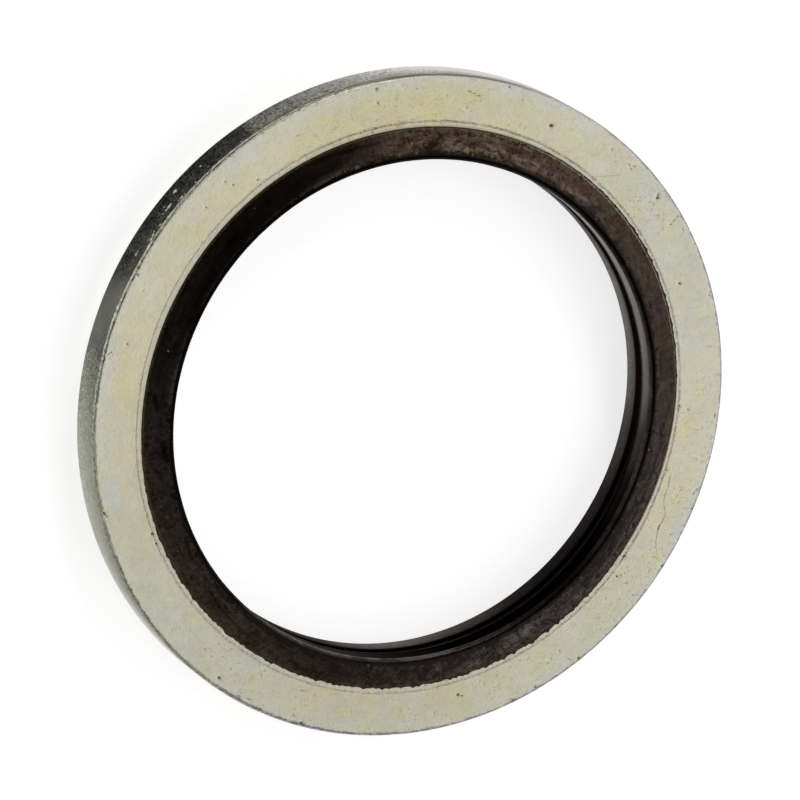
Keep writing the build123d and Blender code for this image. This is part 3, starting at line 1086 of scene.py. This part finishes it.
EDGE_CHIPS = (
    (0, 0.8), (60, 0.8), (70, 0.5), (120, 0.4), (165, 0.5), (185, 0.9), (235, 0.9), (280, 0.6),
    (320, 1.0), (360, 0.8),
)
EDGE_DASH_HIGHLIGHTS = (
    (0, 0.0), (92, 0.0), (102, 0.7), (116, 0.8), (120, 0.7), (132, 0.6), (146, 0.8), (151, 1.0),
    (160, 1.0), (166, 0.7), (180, 0.3), (215, 0.0), (360, 0.0),
)
# Reflectance of the rim, painted with what the metal mirrors: its tone by azimuth is painted
# reflection, how it changes with height (at 0.5 not at all, and above it the top is lighter) is
# painted reflection too, and where it mirrors shade it is painted dark. Then how olive it is, how
# uneven its tone is, where it has small embossed marks, and where its top is brown.
RIM_PAINTED_REFLECTION = (
    (0, 0.48), (44, 0.48), (54, 0.67), (60, 0.66), (75, 0.97), (88, 0.69), (95, 0.5), (104, 0.31),
    (110, 0.225), (118.4, 0.18), (119.6, 0.036), (130, 0.027), (140, 0.038), (151, 0.072),
    (154, 0.155), (164, 0.18), (167, 0.28), (178, 0.46), (192, 0.55), (208, 0.62), (222, 1.0),
    (236, 0.98), (250, 0.48), (360, 0.48),
)
RIM_REFLECTION_TILT = (
    (0, 0.5), (60, 0.35), (75, 0.05), (90, 0.17), (105, 0.5), (120, 0.6), (140, 0.7), (150, 0.68),
    (165, 0.35), (180, 0.36), (195, 0.34), (210, 0.2), (225, 0.15), (250, 0.5), (360, 0.5),
)
RIM_DARK_REFLECTION = (
    (0, 0.0), (118.4, 0.0), (119.6, 1.0), (151, 1.0), (154, 0.25), (166, 0.2), (168, 0.0),
    (360, 0.0),
)
RIM_OLIVE = (
    (0, 0.0), (112, 0.0), (120, 0.5), (150, 0.2), (165, 0.5), (175, 0.9), (210, 0.8), (225, 0.3),
    (360, 0.0),
)
RIM_UNREST = (
    (0, 0.25), (45, 0.25), (55, 0.12), (70, 0.12), (84, 0.3), (95, 0.55), (105, 0.8), (116, 0.9),
    (121, 1.2), (148, 1.1), (154, 0.15), (161, 0.15), (165, 0.5), (180, 0.3), (225, 0.12),
    (240, 0.12), (255, 0.25), (360, 0.25),
)
RIM_EMBOSSED = (
    (0, 0.0), (160, 0.0), (167, 1.0), (178, 0.7), (182, 0.15), (230, 0.15), (360, 0.0),
)
RIM_TOP_BAND = (
    (0, 0.0), (48, 0.0), (54, 0.8), (66, 1.0), (84, 1.0), (116, 1.0), (120, 0.0), (360, 0.0),
)

# ----------------------------------------------------------------------------- finish of the rubber

OLIVE_RIND = (0.048, 0.046, 0.020)
# Painted highlight inside the foot of the flank.
FOOT_HIGHLIGHT = (0.27, 0.235, 0.17)
FOOT_SEAM = (0.024, 0.020, 0.011)
DUST_COLOUR = (0.17, 0.16, 0.145)
# Painted shade in the waist groove.
GROOVE_PAINTED_SHADE = (0.009, 0.0045, 0.0035)
# Painted highlight along the groove's brink.
BRINK_HIGHLIGHT_COLOUR = (0.5, 0.49, 0.47)
RUBBER_SPECULAR_TINT = (1.0, 0.78, 0.68, 1.0)
# Radii in millimetres: of the flank, for patterns that follow it, and where the lip's dark band is
# counted from. Then the height of the waist groove's upper brink above the middle.
FLANK_RADIUS = 12.0
LIP_RADIUS = 11.58
BRINK_HEIGHT = 0.335


class RubberFinish(RingFinish):
    """The rubber's finish, with the patterns that its layers share."""

    def __init__(self):
        super().__init__("nitrile_rubber")
        along = self.unrolled(FLANK_RADIUS, self.radius * 4.0)
        across = self.unrolled(FLANK_RADIUS, self.radius * 0.4)
        self.cloud = self.noise(0.7, 4, 0.6, 0.5)
        self.streak = self.noise(1.1, 5, 0.65, 0.8, 5.0, along)
        self.swirl = self.noise(2.4, 4, 0.65, 1.6, 11.0)
        self.rays = self.noise(4.5, 4, 0.65, 0.5, 19.0, across)
        self.grain = self.noise(7.0, 3, 0.65, 0.6, 17.0)
        self.fine = self.noise(16.0, 2, 0.5, 0.0, 31.0)
        self.wall = self.radius.falling(11.48, 11.62)


def rubber_bloom_and_light(made, size):
    """The colour of the flank: dusty bloom by azimuth on its outer and inner half, its lightness by
    azimuth partly painted light and sheen, lighter where the flank faces the light, uneven by
    streaks, rays and grain, rubbed away by smears, darker on the lip, partly rubbed clean and partly
    painted shade where the flank turns down into the bore, and gone on the wall of the bore. Returns
    the colour and how much bloom, with its painted light, there is."""
    swirl, grain = made.swirl, made.grain
    outer = (made.radius + (swirl - 0.5) * 0.25).rising(12.02, 12.42)
    tone_out, tone_in = made.round_ring(OUTER_BLOOM_AND_LIGHT), made.round_ring(INNER_BLOOM_AND_LIGHT)
    warm_out, warm_in = made.round_ring(OUTER_WARMTH), made.round_ring(INNER_WARMTH)
    contrast = made.round_ring(RUBBER_CONTRAST)
    small = ((grain - 0.5) * 1.3 + (made.fine - 0.5) * 0.7) * contrast
    texture = ((made.streak - 0.5) * 2.3 + (swirl - 0.5) * 3.3 + (made.cloud - 0.5) * 1.2 + small
               + (made.rays - 0.5) * 4.0 * made.round_ring(RUBBER_RAYS))
    unrest = texture * contrast * 1.5
    drips = ((made.rays - 0.5) * 0.45 + (made.streak - 0.5) * 0.30 + (swirl - 0.5) * 0.35
             + (grain - 0.5) * 0.16)
    # The dark band of the lip is partly clean rubber and partly painted shade where the flank turns
    # down into the bore.
    reach = made.round_ring(LIP_REACH) * 0.5 + LIP_RADIUS
    lip = (made.radius + drips - reach).falling(-0.04, 0.06)
    dark = made.field("dark_smears") * (0.1 + swirl + 0.7 * grain) + (swirl - 0.58) * 0.7
    dark = dark.held()

    # Partly painted light: the bloom's lightness by azimuth is lighter where the flank faces the
    # light.
    level = tone_in + (tone_out - tone_in) * outer
    level = level * (1.0 + unrest).at_least(0.1) * (1.0 - lip * 0.78) * (1.0 - dark * 0.75)
    level = level * (1.0 + made.field("light_smears") * (0.5 + grain)) * (1.0 - made.wall)
    warmth = warm_in + (warm_out - warm_in) * outer + (made.cloud - 0.5) * 0.3
    warmth = (warmth - unrest * 0.4 + dark * 0.25).held()
    dusty = made.mix(size.bloom_colour, size.warm_bloom_colour, warmth)
    colour = made.tinted(dusty, level * 0.25 + 0.0035)
    colour = made.product(colour, made.hues(0.9, (0.2, 0.7, 0.2), 2.0))
    return made.product(colour, made.hues(3.2, (0.12, 0.65, 0.12), 6.0)), level


def foot_and_dust(made, colour, level):
    """An olive rind on the outermost part of the flank, a thin painted highlight inside its foot, the
    dark seam and feather of flash outside that line, and the specks of dust. Returns the colour and
    the specks."""
    rind = (made.radius + (made.grain - 0.5) * 0.14).rising(12.56, 12.72) * (level * 2.0).held()
    colour = made.mix(colour, OLIVE_RIND, rind * 0.7)
    from_foot = made.field("from_foot") + (made.grain - 0.5) * 0.14 + (made.fine - 0.5) * 0.10
    # Painted highlight: a thin light line on the raised bead of flash.
    foot_highlight = abs(from_foot + 0.045).falling(0.015, 0.04) * made.round_ring(FLASH_HIGHLIGHT)
    foot_highlight = (foot_highlight * (0.3 + 1.2 * made.fine.rising(0.3, 0.7))).held()
    colour = made.mix(colour, FOOT_HIGHLIGHT, foot_highlight)
    colour = made.mix(colour, FOOT_SEAM, from_foot.rising(-0.035, -0.01) * 0.9)
    dust = (made.field("dust") + (made.fine - 0.5) * 0.5).rising(0.05, 0.5)
    return made.mix(colour, DUST_COLOUR, dust * 0.75), dust


def bore_shine(made, colour):
    """How much of the shine is left: little on the flank and in the waist groove, more on the crest
    and on the bore's two lands. Returns the colour, with painted shade black in the groove and a
    painted highlight along its brink, and the shine."""
    height = made.height
    land = abs(height).rising(0.28, 0.36) * abs(height).falling(1.12, 1.2)
    hump = height.rising(0.33, 0.62) * (1.0 - 0.3 * height.rising(0.75, 1.1))
    upper_shine = made.round_ring(UPPER_LAND_SHINE)
    upper = upper_shine * land * hump * 1.25
    lower = made.round_ring(LOWER_LAND_SHINE) * land * height.falling(-0.1, 0.0)
    lower = lower * (1.0 + 0.35 * height.falling(-0.9, -0.5))
    crest = height.rising(1.12, 1.24) * height.falling(1.32, 1.39) * made.round_ring(CREST_SHINE)
    crest = crest * (0.6 + 0.8 * made.streak.rising(0.35, 0.65))
    flank = made.round_ring(FLANK_SHINE) * (1.0 + (made.grain - 0.5) * 0.8)
    # Painted shade: the waist groove is painted black, as a recess in shade.
    groove = abs(height).falling(0.28, 0.36) * made.wall * upper_shine
    colour = made.mix(colour, GROOVE_PAINTED_SHADE, groove)
    # Painted highlight: a thin light line along the groove's upper brink.
    brink = abs(height - BRINK_HEIGHT).falling(0.012, 0.045) * made.round_ring(BRINK_HIGHLIGHT)
    brink = brink * made.wall * (0.3 + 1.4 * made.fine.rising(0.35, 0.6)).held()
    colour = made.mix(colour, BRINK_HIGHLIGHT_COLOUR, brink)
    rub = 1.0 + (made.swirl - 0.5) * 0.8 + (made.grain - 0.5) + (made.fine - 0.5) * 0.8
    shine = (upper + lower + crest) * rub * made.wall + flank * (1.0 - made.wall) + groove * 0.05
    return colour, shine.held()


def moulded_rubber(size):
    """Black nitrile rubber under a thin dusty bloom, with moulding streaks, smears, specks and a
    polished bore."""
    made = RubberFinish()
    colour, level = rubber_bloom_and_light(made, size)
    colour, dust = foot_and_dust(made, colour, level)
    colour, shine = bore_shine(made, colour)
    rough = size.rubber_roughness + (made.streak - 0.5) * 0.2 + (made.grain - 0.5) * 0.15
    rough = rough + dust * 0.2
    relief = made.grain * 0.7 + made.streak * 0.8 + made.swirl * 0.6 + made.fine * 0.3 + dust * 1.5
    normal = made.bump(relief, size.rubber_relief)
    polished = made.shader(Base_Color=colour, Roughness=rough, Specular_IOR_Level=1.0,
                           Specular_Tint=RUBBER_SPECULAR_TINT, Normal=normal)
    matt = made.shader(Base_Color=colour, Roughness=1.0, Specular_IOR_Level=0.0, Normal=normal)
    return made.end(made.node("ShaderNodeMixShader", None, {0: shine, 1: matt, 2: polished}))


# Each curve below is read by azimuth in degrees.
# Lightness of the bloom on the outer and the inner half of the flank, partly dust and partly
# painted light and sheen: lighter where the flank faces the light, darker where it faces away.
OUTER_BLOOM_AND_LIGHT = (
    (0, 0.5), (30, 0.53), (45, 0.7), (75, 1.1), (88, 0.76), (105, 0.15), (120, 0.055), (165, 0.12),
    (180, 0.31), (225, 0.42), (255, 0.21), (270, 0.35), (300, 0.5), (330, 0.7), (345, 0.6),
    (360, 0.5),
)
INNER_BLOOM_AND_LIGHT = (
    (0, 0.46), (30, 0.58), (60, 0.92), (75, 1.1), (90, 0.72), (105, 0.27), (120, 0.05), (150, 0.05),
    (180, 0.25), (225, 0.38), (255, 0.17), (285, 0.33), (300, 0.62), (315, 0.15), (345, 0.39),
    (360, 0.46),
)
# How brown the bloom is on the outer and the inner half of the flank: 0 is grey.
OUTER_WARMTH = (
    (0, 0.65), (45, 1.0), (95, 1.0), (120, 0.7), (155, 0.3), (180, 0.5), (210, 0.65), (240, 0.9),
    (270, 0.7), (300, 0.5), (330, 0.4), (360, 0.65),
)
INNER_WARMTH = (
    (0, 0.45), (30, 0.65), (90, 0.75), (120, 0.2), (180, 0.15), (210, 0.45), (240, 0.7),
    (270, 0.45), (300, 0.2), (330, 0.0), (345, 0.15), (360, 0.45),
)
# How uneven the bloom is, and where it is drawn into rays across the flank.
RUBBER_CONTRAST = (
    (0, 0.65), (30, 0.65), (55, 0.9), (85, 1.05), (100, 0.9), (120, 0.4), (150, 0.5), (180, 0.7),
    (235, 0.85), (265, 1.3), (300, 1.3), (330, 1.25), (345, 0.9), (360, 0.65),
)
RUBBER_RAYS = (
    (0, 0.0), (252, 0.0), (262, 0.7), (276, 0.7), (284, 0.0), (360, 0.0),
)
# How far the dark band of the lip, partly painted shade, reaches out from LIP_RADIUS, in halves
# of a millimetre.
LIP_REACH = (
    (0, 0.16), (20, 0.2), (60, 0.25), (95, 0.2), (106, 0.0), (175, 0.0), (190, 0.15), (220, 0.2),
    (240, 0.3), (265, 0.35), (285, 0.42), (300, 0.35), (315, 0.25), (330, 0.22), (345, 0.2),
    (360, 0.16),
)
# Where a thin painted highlight runs inside the foot of the flank.
FLASH_HIGHLIGHT = (
    (0, 0.3), (15, 0.6), (28, 0.9), (55, 1.0), (68, 0.4), (80, 0.15), (180, 0.1), (215, 0.0),
    (340, 0.0), (350, 0.1), (360, 0.3),
)
# Shine of the flank and of the crest of the lip.
FLANK_SHINE = (
    (0, 0.12), (95, 0.12), (108, 0.03), (180, 0.03), (200, 0.1), (360, 0.12),
)
CREST_SHINE = (
    (0, 0.5), (20, 0.35), (40, 0.15), (60, 0.3), (75, 0.2), (100, 0.15), (220, 0.15), (235, 0.6),
    (250, 0.8), (270, 0.7), (285, 0.4), (300, 0.1), (312, 0.05), (325, 0.2), (345, 0.45),
    (360, 0.5),
)
# Where the upper brink of the waist groove shows a thin painted highlight.
BRINK_HIGHLIGHT = (
    (0, 0.1), (12, 0.2), (25, 0.8), (45, 1.0), (56, 0.6), (66, 0.0), (232, 0.0), (242, 0.25),
    (275, 0.2), (290, 0.0), (345, 0.0), (360, 0.1),
)
# Shine of the upper and the lower land of the bore.
UPPER_LAND_SHINE = (
    (0, 0.72), (20, 1.0), (45, 1.0), (50, 0.75), (60, 0.6), (68, 0.3), (230, 0.2), (250, 0.08),
    (270, 0.02), (280, 0.0), (320, 0.0), (335, 0.03), (345, 0.2), (360, 0.72),
)
LOWER_LAND_SHINE = (
    (0, 0.66), (20, 0.62), (40, 0.32), (50, 0.45), (60, 0.6), (70, 0.3), (240, 0.12), (250, 0.12),
    (262, 0.35), (270, 0.45), (290, 0.22), (300, 0.09), (310, 0.06), (330, 0.11), (345, 0.28),
    (360, 0.66),
)

# ----------------------------------------------------------------------------------------- settings


def a_length(name, description, millimetres):
    """A length property, given in millimetres and kept in metres."""
    return FloatProperty(name=name, description=description, default=millimetres * MM, min=0.0,
                         precision=5, unit="LENGTH")


def an_angle(name, description, degrees):
    """An angle property, given in degrees and kept in radians."""
    return FloatProperty(name=name, description=description, default=math.radians(degrees),
                         subtype="ANGLE")


def a_colour(name, description, red, green, blue):
    """A linear colour property."""
    return FloatVectorProperty(name=name, description=description, default=(red, green, blue),
                               min=0.0, max=1.0, size=3, subtype="COLOR")


def a_share(name, description, value):
    """A plain share from 0 to 1."""
    return FloatProperty(name=name, description=description, default=value, min=0.0, max=1.0,
                         subtype="FACTOR")


def a_radiance(name, description, value):
    """The brightness of a light, the same all over it."""
    return FloatProperty(name=name, description=description, default=value, min=0.0)


def a_count(name, description, count):
    """A number of grid steps round the ring."""
    return IntProperty(name=name, description=description, default=count, min=64)


class SteelSettings(bpy.types.PropertyGroup):
    """Sizes and colours of the steel ring."""

    steel_steps: a_count("Steps round the ring", "Grid steps of the steel", 1300)
    edge_rounding: a_length("Edge rounding", "How far the rounding of the outer edges reaches", 0.075)
    edge_fullness: FloatProperty(name="Edge fullness", description="1 is a flat bevel and 2 a round",
                                 default=1.7, min=1.0, max=4.0)
    bore_bevel: a_length("Bore bevel", "Size of the bevels at the bond", 0.1)
    scribed_radius: a_length("Scribed line radius", "Where the scribed line runs on the face", 12.956)
    scribed_width: a_length("Scribed line width", "Width of the scribed groove", 0.04)
    scribed_depth: a_length("Scribed line depth", "Depth of the scribed groove", 0.008)
    pit_depth: a_length("Pit depth", "Depth of the named pits", 0.035)
    dent_depth: a_length("Dent depth", "Depth of the dents on the rim", 0.012)
    nick_depth: a_length("Nick depth", "Depth of the nicks along the outer edges", 0.03)
    plate_colour: a_colour("Plate colour", "Passivated zinc", 0.523, 0.507, 0.407)
    yellow_colour: a_colour("Yellow film", "Where the film is thick", 0.533, 0.494, 0.307)
    blue_colour: a_colour("Blue-grey film", "Where the film is thin", 0.495, 0.502, 0.452)
    band_colour: a_colour("Inner band", "Between the scribed line and the rubber", 0.52, 0.485, 0.43)
    rim_colour: a_colour("Rim tint", "Tint of the rim's lower half", 1.0, 0.99, 0.96)
    rim_upper_colour: a_colour("Upper rim tint", "Tint of the rim's upper half", 1.0, 0.99, 0.84)
    # The colour of the painted highlight along the slope below the upper edge.
    slope_highlight_colour: a_colour("Edge slope colour", "The worn slope of the upper edge", 0.38, 0.39, 0.31)
    rim_olive_colour: a_colour("Olive rim tint", "Where the rim is greenish", 0.98, 1.0, 0.80)
    plate_roughness: a_share("Plate roughness", "Roughness of the plate", 0.42)
    plate_relief: a_length("Plate relief", "Height of the plate's fine relief", 0.014)


class RubberSettings(bpy.types.PropertyGroup):
    """Sizes and colours of the rubber seal."""

    rubber_steps: a_count("Steps round the seal", "Grid steps of the rubber", 980)
    bond_bevel: a_length("Bond bevel", "Size of the steel's bevels that the rubber fills", 0.1)
    seal_leans_to: an_angle("Seal leans to", "Azimuth that the seal sits nearer to", 280.0)
    bore_shrink: a_length("Bore shrink", "How much smaller the moulded bore's radius is", 0.031)
    bore_offset: a_length("Bore offset", "How far off centre the moulded bore sits", 0.033)
    foot_slide: a_length("Foot slide", "The most that the flank stops down the steel's bevel", 0.05)
    flash_width: a_length("Flash width", "Reach of the feather of flash over the steel", 0.07)
    lip_rounding: a_length("Lip rounding", "Radius of the lip's tip", 0.25)
    groove_half_width: a_length("Groove half width", "Half the width of its mouth", 0.32)
    groove_depth: a_length("Groove depth", "Depth of the waist groove", 0.28)
    bloom_colour: a_colour("Bloom colour", "Grey dust on the rubber", 0.245, 0.215, 0.212)
    warm_bloom_colour: a_colour("Warm bloom colour", "Brown dust on the rubber", 0.305, 0.192, 0.112)
    rubber_roughness: a_share("Rubber roughness", "Roughness of the rubber", 0.34)
    rubber_relief: a_length("Rubber relief", "Height of the rubber's fine relief", 0.02)


class StudioSettings(bpy.types.PropertyGroup):
    """The floor, the light and the camera."""

    floor_colour: a_colour("Floor colour", "Pale floor", 0.5, 0.5, 0.5)
    floor_lift: a_share("Floor lift", "Light that the floor gives off towards the camera", 0.72)
    key_light: a_radiance("Key light", "Radiance of the large soft key light", 1.0)
    side_light: a_radiance("Side light", "Radiance of the side light", 8.0)
    rear_light: a_radiance("Rear light", "Radiance of the long low light behind the camera", 2.0)
    horizon_light: a_radiance("Horizon light", "Radiance of the sky at the horizon", 0.7)
    zenith_light: a_radiance("Zenith light", "Radiance of the sky overhead", 0.04)
    camera_azimuth: an_angle("Camera azimuth", "0 looks along +Y and 90 along -X", -126.375)
    camera_elevation: an_angle("Camera elevation", "Angle above the horizon", 62.67)
    camera_roll: an_angle("Camera roll", "Turn of the camera about its own view", 123.2)
    camera_distance: FloatProperty(
        name="Camera distance", description="From the camera to the point it looks at",
        default=0.3675, unit="LENGTH")
    camera_lens: FloatProperty(
        name="Lens", description="Focal length on a 36 mm sensor", default=376.2,
        subtype="DISTANCE_CAMERA")
    camera_aim: FloatVectorProperty(
        name="Camera aim", description="The point the camera looks at",
        default=(-0.0004622, 0.0003811, 0.00210546), size=3, subtype="TRANSLATION", unit="LENGTH")


# ------------------------------------------------------------------------------------------- studio

# Where each softbox stands: azimuth and elevation in degrees, distance, width and height in metres.
KEY_SOFTBOX = (-22, 47, 0.6, 1.25, 0.74)
SIDE_SOFTBOX = (78, 32, 0.6, 0.16, 0.16)
REAR_SOFTBOX = (150, 34, 0.6, 0.9, 0.12)
# The sky fades from horizon to zenith between these heights of the direction looked in.
SKY_FADE = (0.05, 0.8)
FLOOR_HALF = 1.5
FLOOR_ROUGHNESS = 0.9
SENSOR_WIDTH = 36.0
CLIP_NEAR, CLIP_FAR = 0.01, 10.0


def direction(azimuth, elevation):
    """Unit vector towards an azimuth about +Z from +X and an elevation, both in degrees: (cos e cos
    a, cos e sin a, sin e)."""
    a, e = math.radians(azimuth), math.radians(elevation)
    return Vector((math.cos(e) * math.cos(a), math.cos(e) * math.sin(a), math.sin(e)))


def softbox(name, stand, shine):
    """An area light that faces the washer and has one radiance all over: its power is four times its
    area times that radiance."""
    azimuth, elevation, distance, wide, high = stand
    light = bpy.data.lights.new(name, "AREA")
    light.shape = "RECTANGLE"
    light.size, light.size_y = wide, high
    light.energy = 4 * wide * high * shine
    lamp = bpy.data.objects.new(name, light)
    back = direction(azimuth, elevation)
    facing = back.to_track_quat("Z", "Y").to_matrix().to_4x4()
    lamp.matrix_world = Matrix.Translation(back * distance) @ facing
    bpy.context.scene.collection.objects.link(lamp)


def sky(horizon, zenith):
    """A sky that is bright along the horizon and dark overhead: its strength follows the height of
    the direction looked in."""
    world = bpy.data.worlds.new("studio_sky")
    world.use_nodes = True
    made = Nodes(world.node_tree)
    looked = made.node("ShaderNodeTexCoord", None, None, "Generated")
    height = made.node("ShaderNodeSeparateXYZ", None, {0: looked}, "Z")
    strength = made.node("ShaderNodeMapRange", {"interpolation_type": "SMOOTHSTEP"}, {
        "Value": height, "From Min": SKY_FADE[0], "From Max": SKY_FADE[1],
        "To Min": horizon, "To Max": zenith})
    shine = made.node("ShaderNodeBackground", None, {"Strength": strength})
    made.node("ShaderNodeOutputWorld", None, {"Surface": shine})
    bpy.context.scene.world = world


def floor_plane(settings):
    """A plain pale floor at height 0."""
    half = FLOOR_HALF
    corners = [(-half, -half, 0), (half, -half, 0), (half, half, 0), (-half, half, 0)]
    mesh = bpy.data.meshes.new("studio_floor")
    mesh.from_pydata(corners, [], [(0, 1, 2, 3)])
    ground = bpy.data.objects.new("studio_floor", mesh)
    bpy.context.scene.collection.objects.link(ground)
    mesh.materials.append(pale_floor(settings))


def pale_floor(settings):
    """Pale paper that keeps the washer's shadow, lifted to white for the camera, for glossy and for
    transmitted rays."""
    made = Finish("pale_floor")
    seen = made.node("ShaderNodeLightPath", None, None, "Is Camera Ray")
    mirrored = made.node("ShaderNodeLightPath", None, None, "Is Glossy Ray")
    through = made.node("ShaderNodeLightPath", None, None, "Is Transmission Ray")
    lift = (seen + mirrored + through).held() * settings.floor_lift
    return made.end(made.shader(
        Base_Color=colour4(settings.floor_colour),
        Roughness=FLOOR_ROUGHNESS,
        Emission_Color=made.vector(lift, lift, lift),
        Emission_Strength=1.0,
    ))


def studio_camera(settings):
    """A long lens that looks at the aim point from its azimuth and elevation, rolled about its
    view."""
    azimuth, elevation = settings.camera_azimuth, settings.camera_elevation
    back = Vector((math.sin(azimuth) * math.cos(elevation), -math.cos(azimuth) * math.cos(elevation),
                   math.sin(elevation)))
    facing = (-back).to_track_quat("-Z", "Y").to_matrix().to_4x4()
    lens = bpy.data.cameras.new("studio_camera")
    lens.lens = settings.camera_lens
    lens.sensor_width = SENSOR_WIDTH
    lens.clip_start, lens.clip_end = CLIP_NEAR, CLIP_FAR
    camera = bpy.data.objects.new("studio_camera", lens)
    stand = Matrix.Translation(Vector(settings.camera_aim) + back * settings.camera_distance)
    camera.matrix_world = stand @ facing @ Matrix.Rotation(settings.camera_roll, 4, "Z")
    bpy.context.scene.collection.objects.link(camera)
    bpy.context.scene.camera = camera


# ---------------------------------------------------------------------------------------- operators


class WASHER_OT_steel_ring(bpy.types.Operator):
    """Make the plated steel ring"""

    bl_idname = "washer.steel_ring"
    bl_label = "Steel Ring"

    def execute(self, context):
        settings = context.scene.washer_steel
        piece, material = steel_ring(settings), plated_steel(settings)
        put_on_frame(piece, "steel_ring", material)
        return {"FINISHED"}


class WASHER_OT_rubber_seal(bpy.types.Operator):
    """Make the moulded rubber seal"""

    bl_idname = "washer.rubber_seal"
    bl_label = "Rubber Seal"

    def execute(self, context):
        settings = context.scene.washer_rubber
        piece, material = rubber_seal(settings), moulded_rubber(settings)
        put_on_frame(piece, "rubber_seal", material)
        return {"FINISHED"}


class WASHER_OT_studio(bpy.types.Operator):
    """Make the floor, the light and the camera"""

    bl_idname = "washer.studio"
    bl_label = "Studio"

    def execute(self, context):
        settings = context.scene.washer_studio
        floor_plane(settings)
        sky(settings.horizon_light, settings.zenith_light)
        softbox("key_softbox", KEY_SOFTBOX, settings.key_light)
        softbox("side_softbox", SIDE_SOFTBOX, settings.side_light)
        softbox("rear_softbox", REAR_SOFTBOX, settings.rear_light)
        studio_camera(settings)
        context.scene.view_settings.view_transform = "Standard"
        return {"FINISHED"}


class WASHER_PT_sidebar(bpy.types.Panel):
    """The washer's pieces and settings"""

    bl_idname = "WASHER_PT_sidebar"
    bl_label = "Bonded Washer"
    bl_space_type = "VIEW_3D"
    bl_region_type = "UI"
    bl_category = "Washer"

    def draw(self, context):
        scene = context.scene
        for operator, settings in (("washer.steel_ring", scene.washer_steel),
                                   ("washer.rubber_seal", scene.washer_rubber),
                                   ("washer.studio", scene.washer_studio)):
            box = self.layout.box()
            box.operator(operator)
            for name in settings.bl_rna.properties.keys():
                if name not in {"rna_type", "name"}:
                    box.prop(settings, name)


CLASSES = (SteelSettings, RubberSettings, StudioSettings, WASHER_OT_steel_ring,
           WASHER_OT_rubber_seal, WASHER_OT_studio, WASHER_PT_sidebar)


def register():
    """Registers the classes and puts their settings on the scene."""
    for item in CLASSES:
        bpy.utils.register_class(item)
    bpy.types.Scene.washer_steel = PointerProperty(type=SteelSettings)
    bpy.types.Scene.washer_rubber = PointerProperty(type=RubberSettings)
    bpy.types.Scene.washer_studio = PointerProperty(type=StudioSettings)


def unregister():
    """Takes the settings and the classes away again."""
    del bpy.types.Scene.washer_studio
    del bpy.types.Scene.washer_rubber
    del bpy.types.Scene.washer_steel
    for item in reversed(CLASSES):
        bpy.utils.unregister_class(item)


def main():
    """Builds everything."""
    register()
    bpy.ops.washer.steel_ring()
    bpy.ops.washer.rubber_seal()
    bpy.ops.washer.studio()
    bpy.context.view_layer.update()


if __name__ == "__main__":
    main()
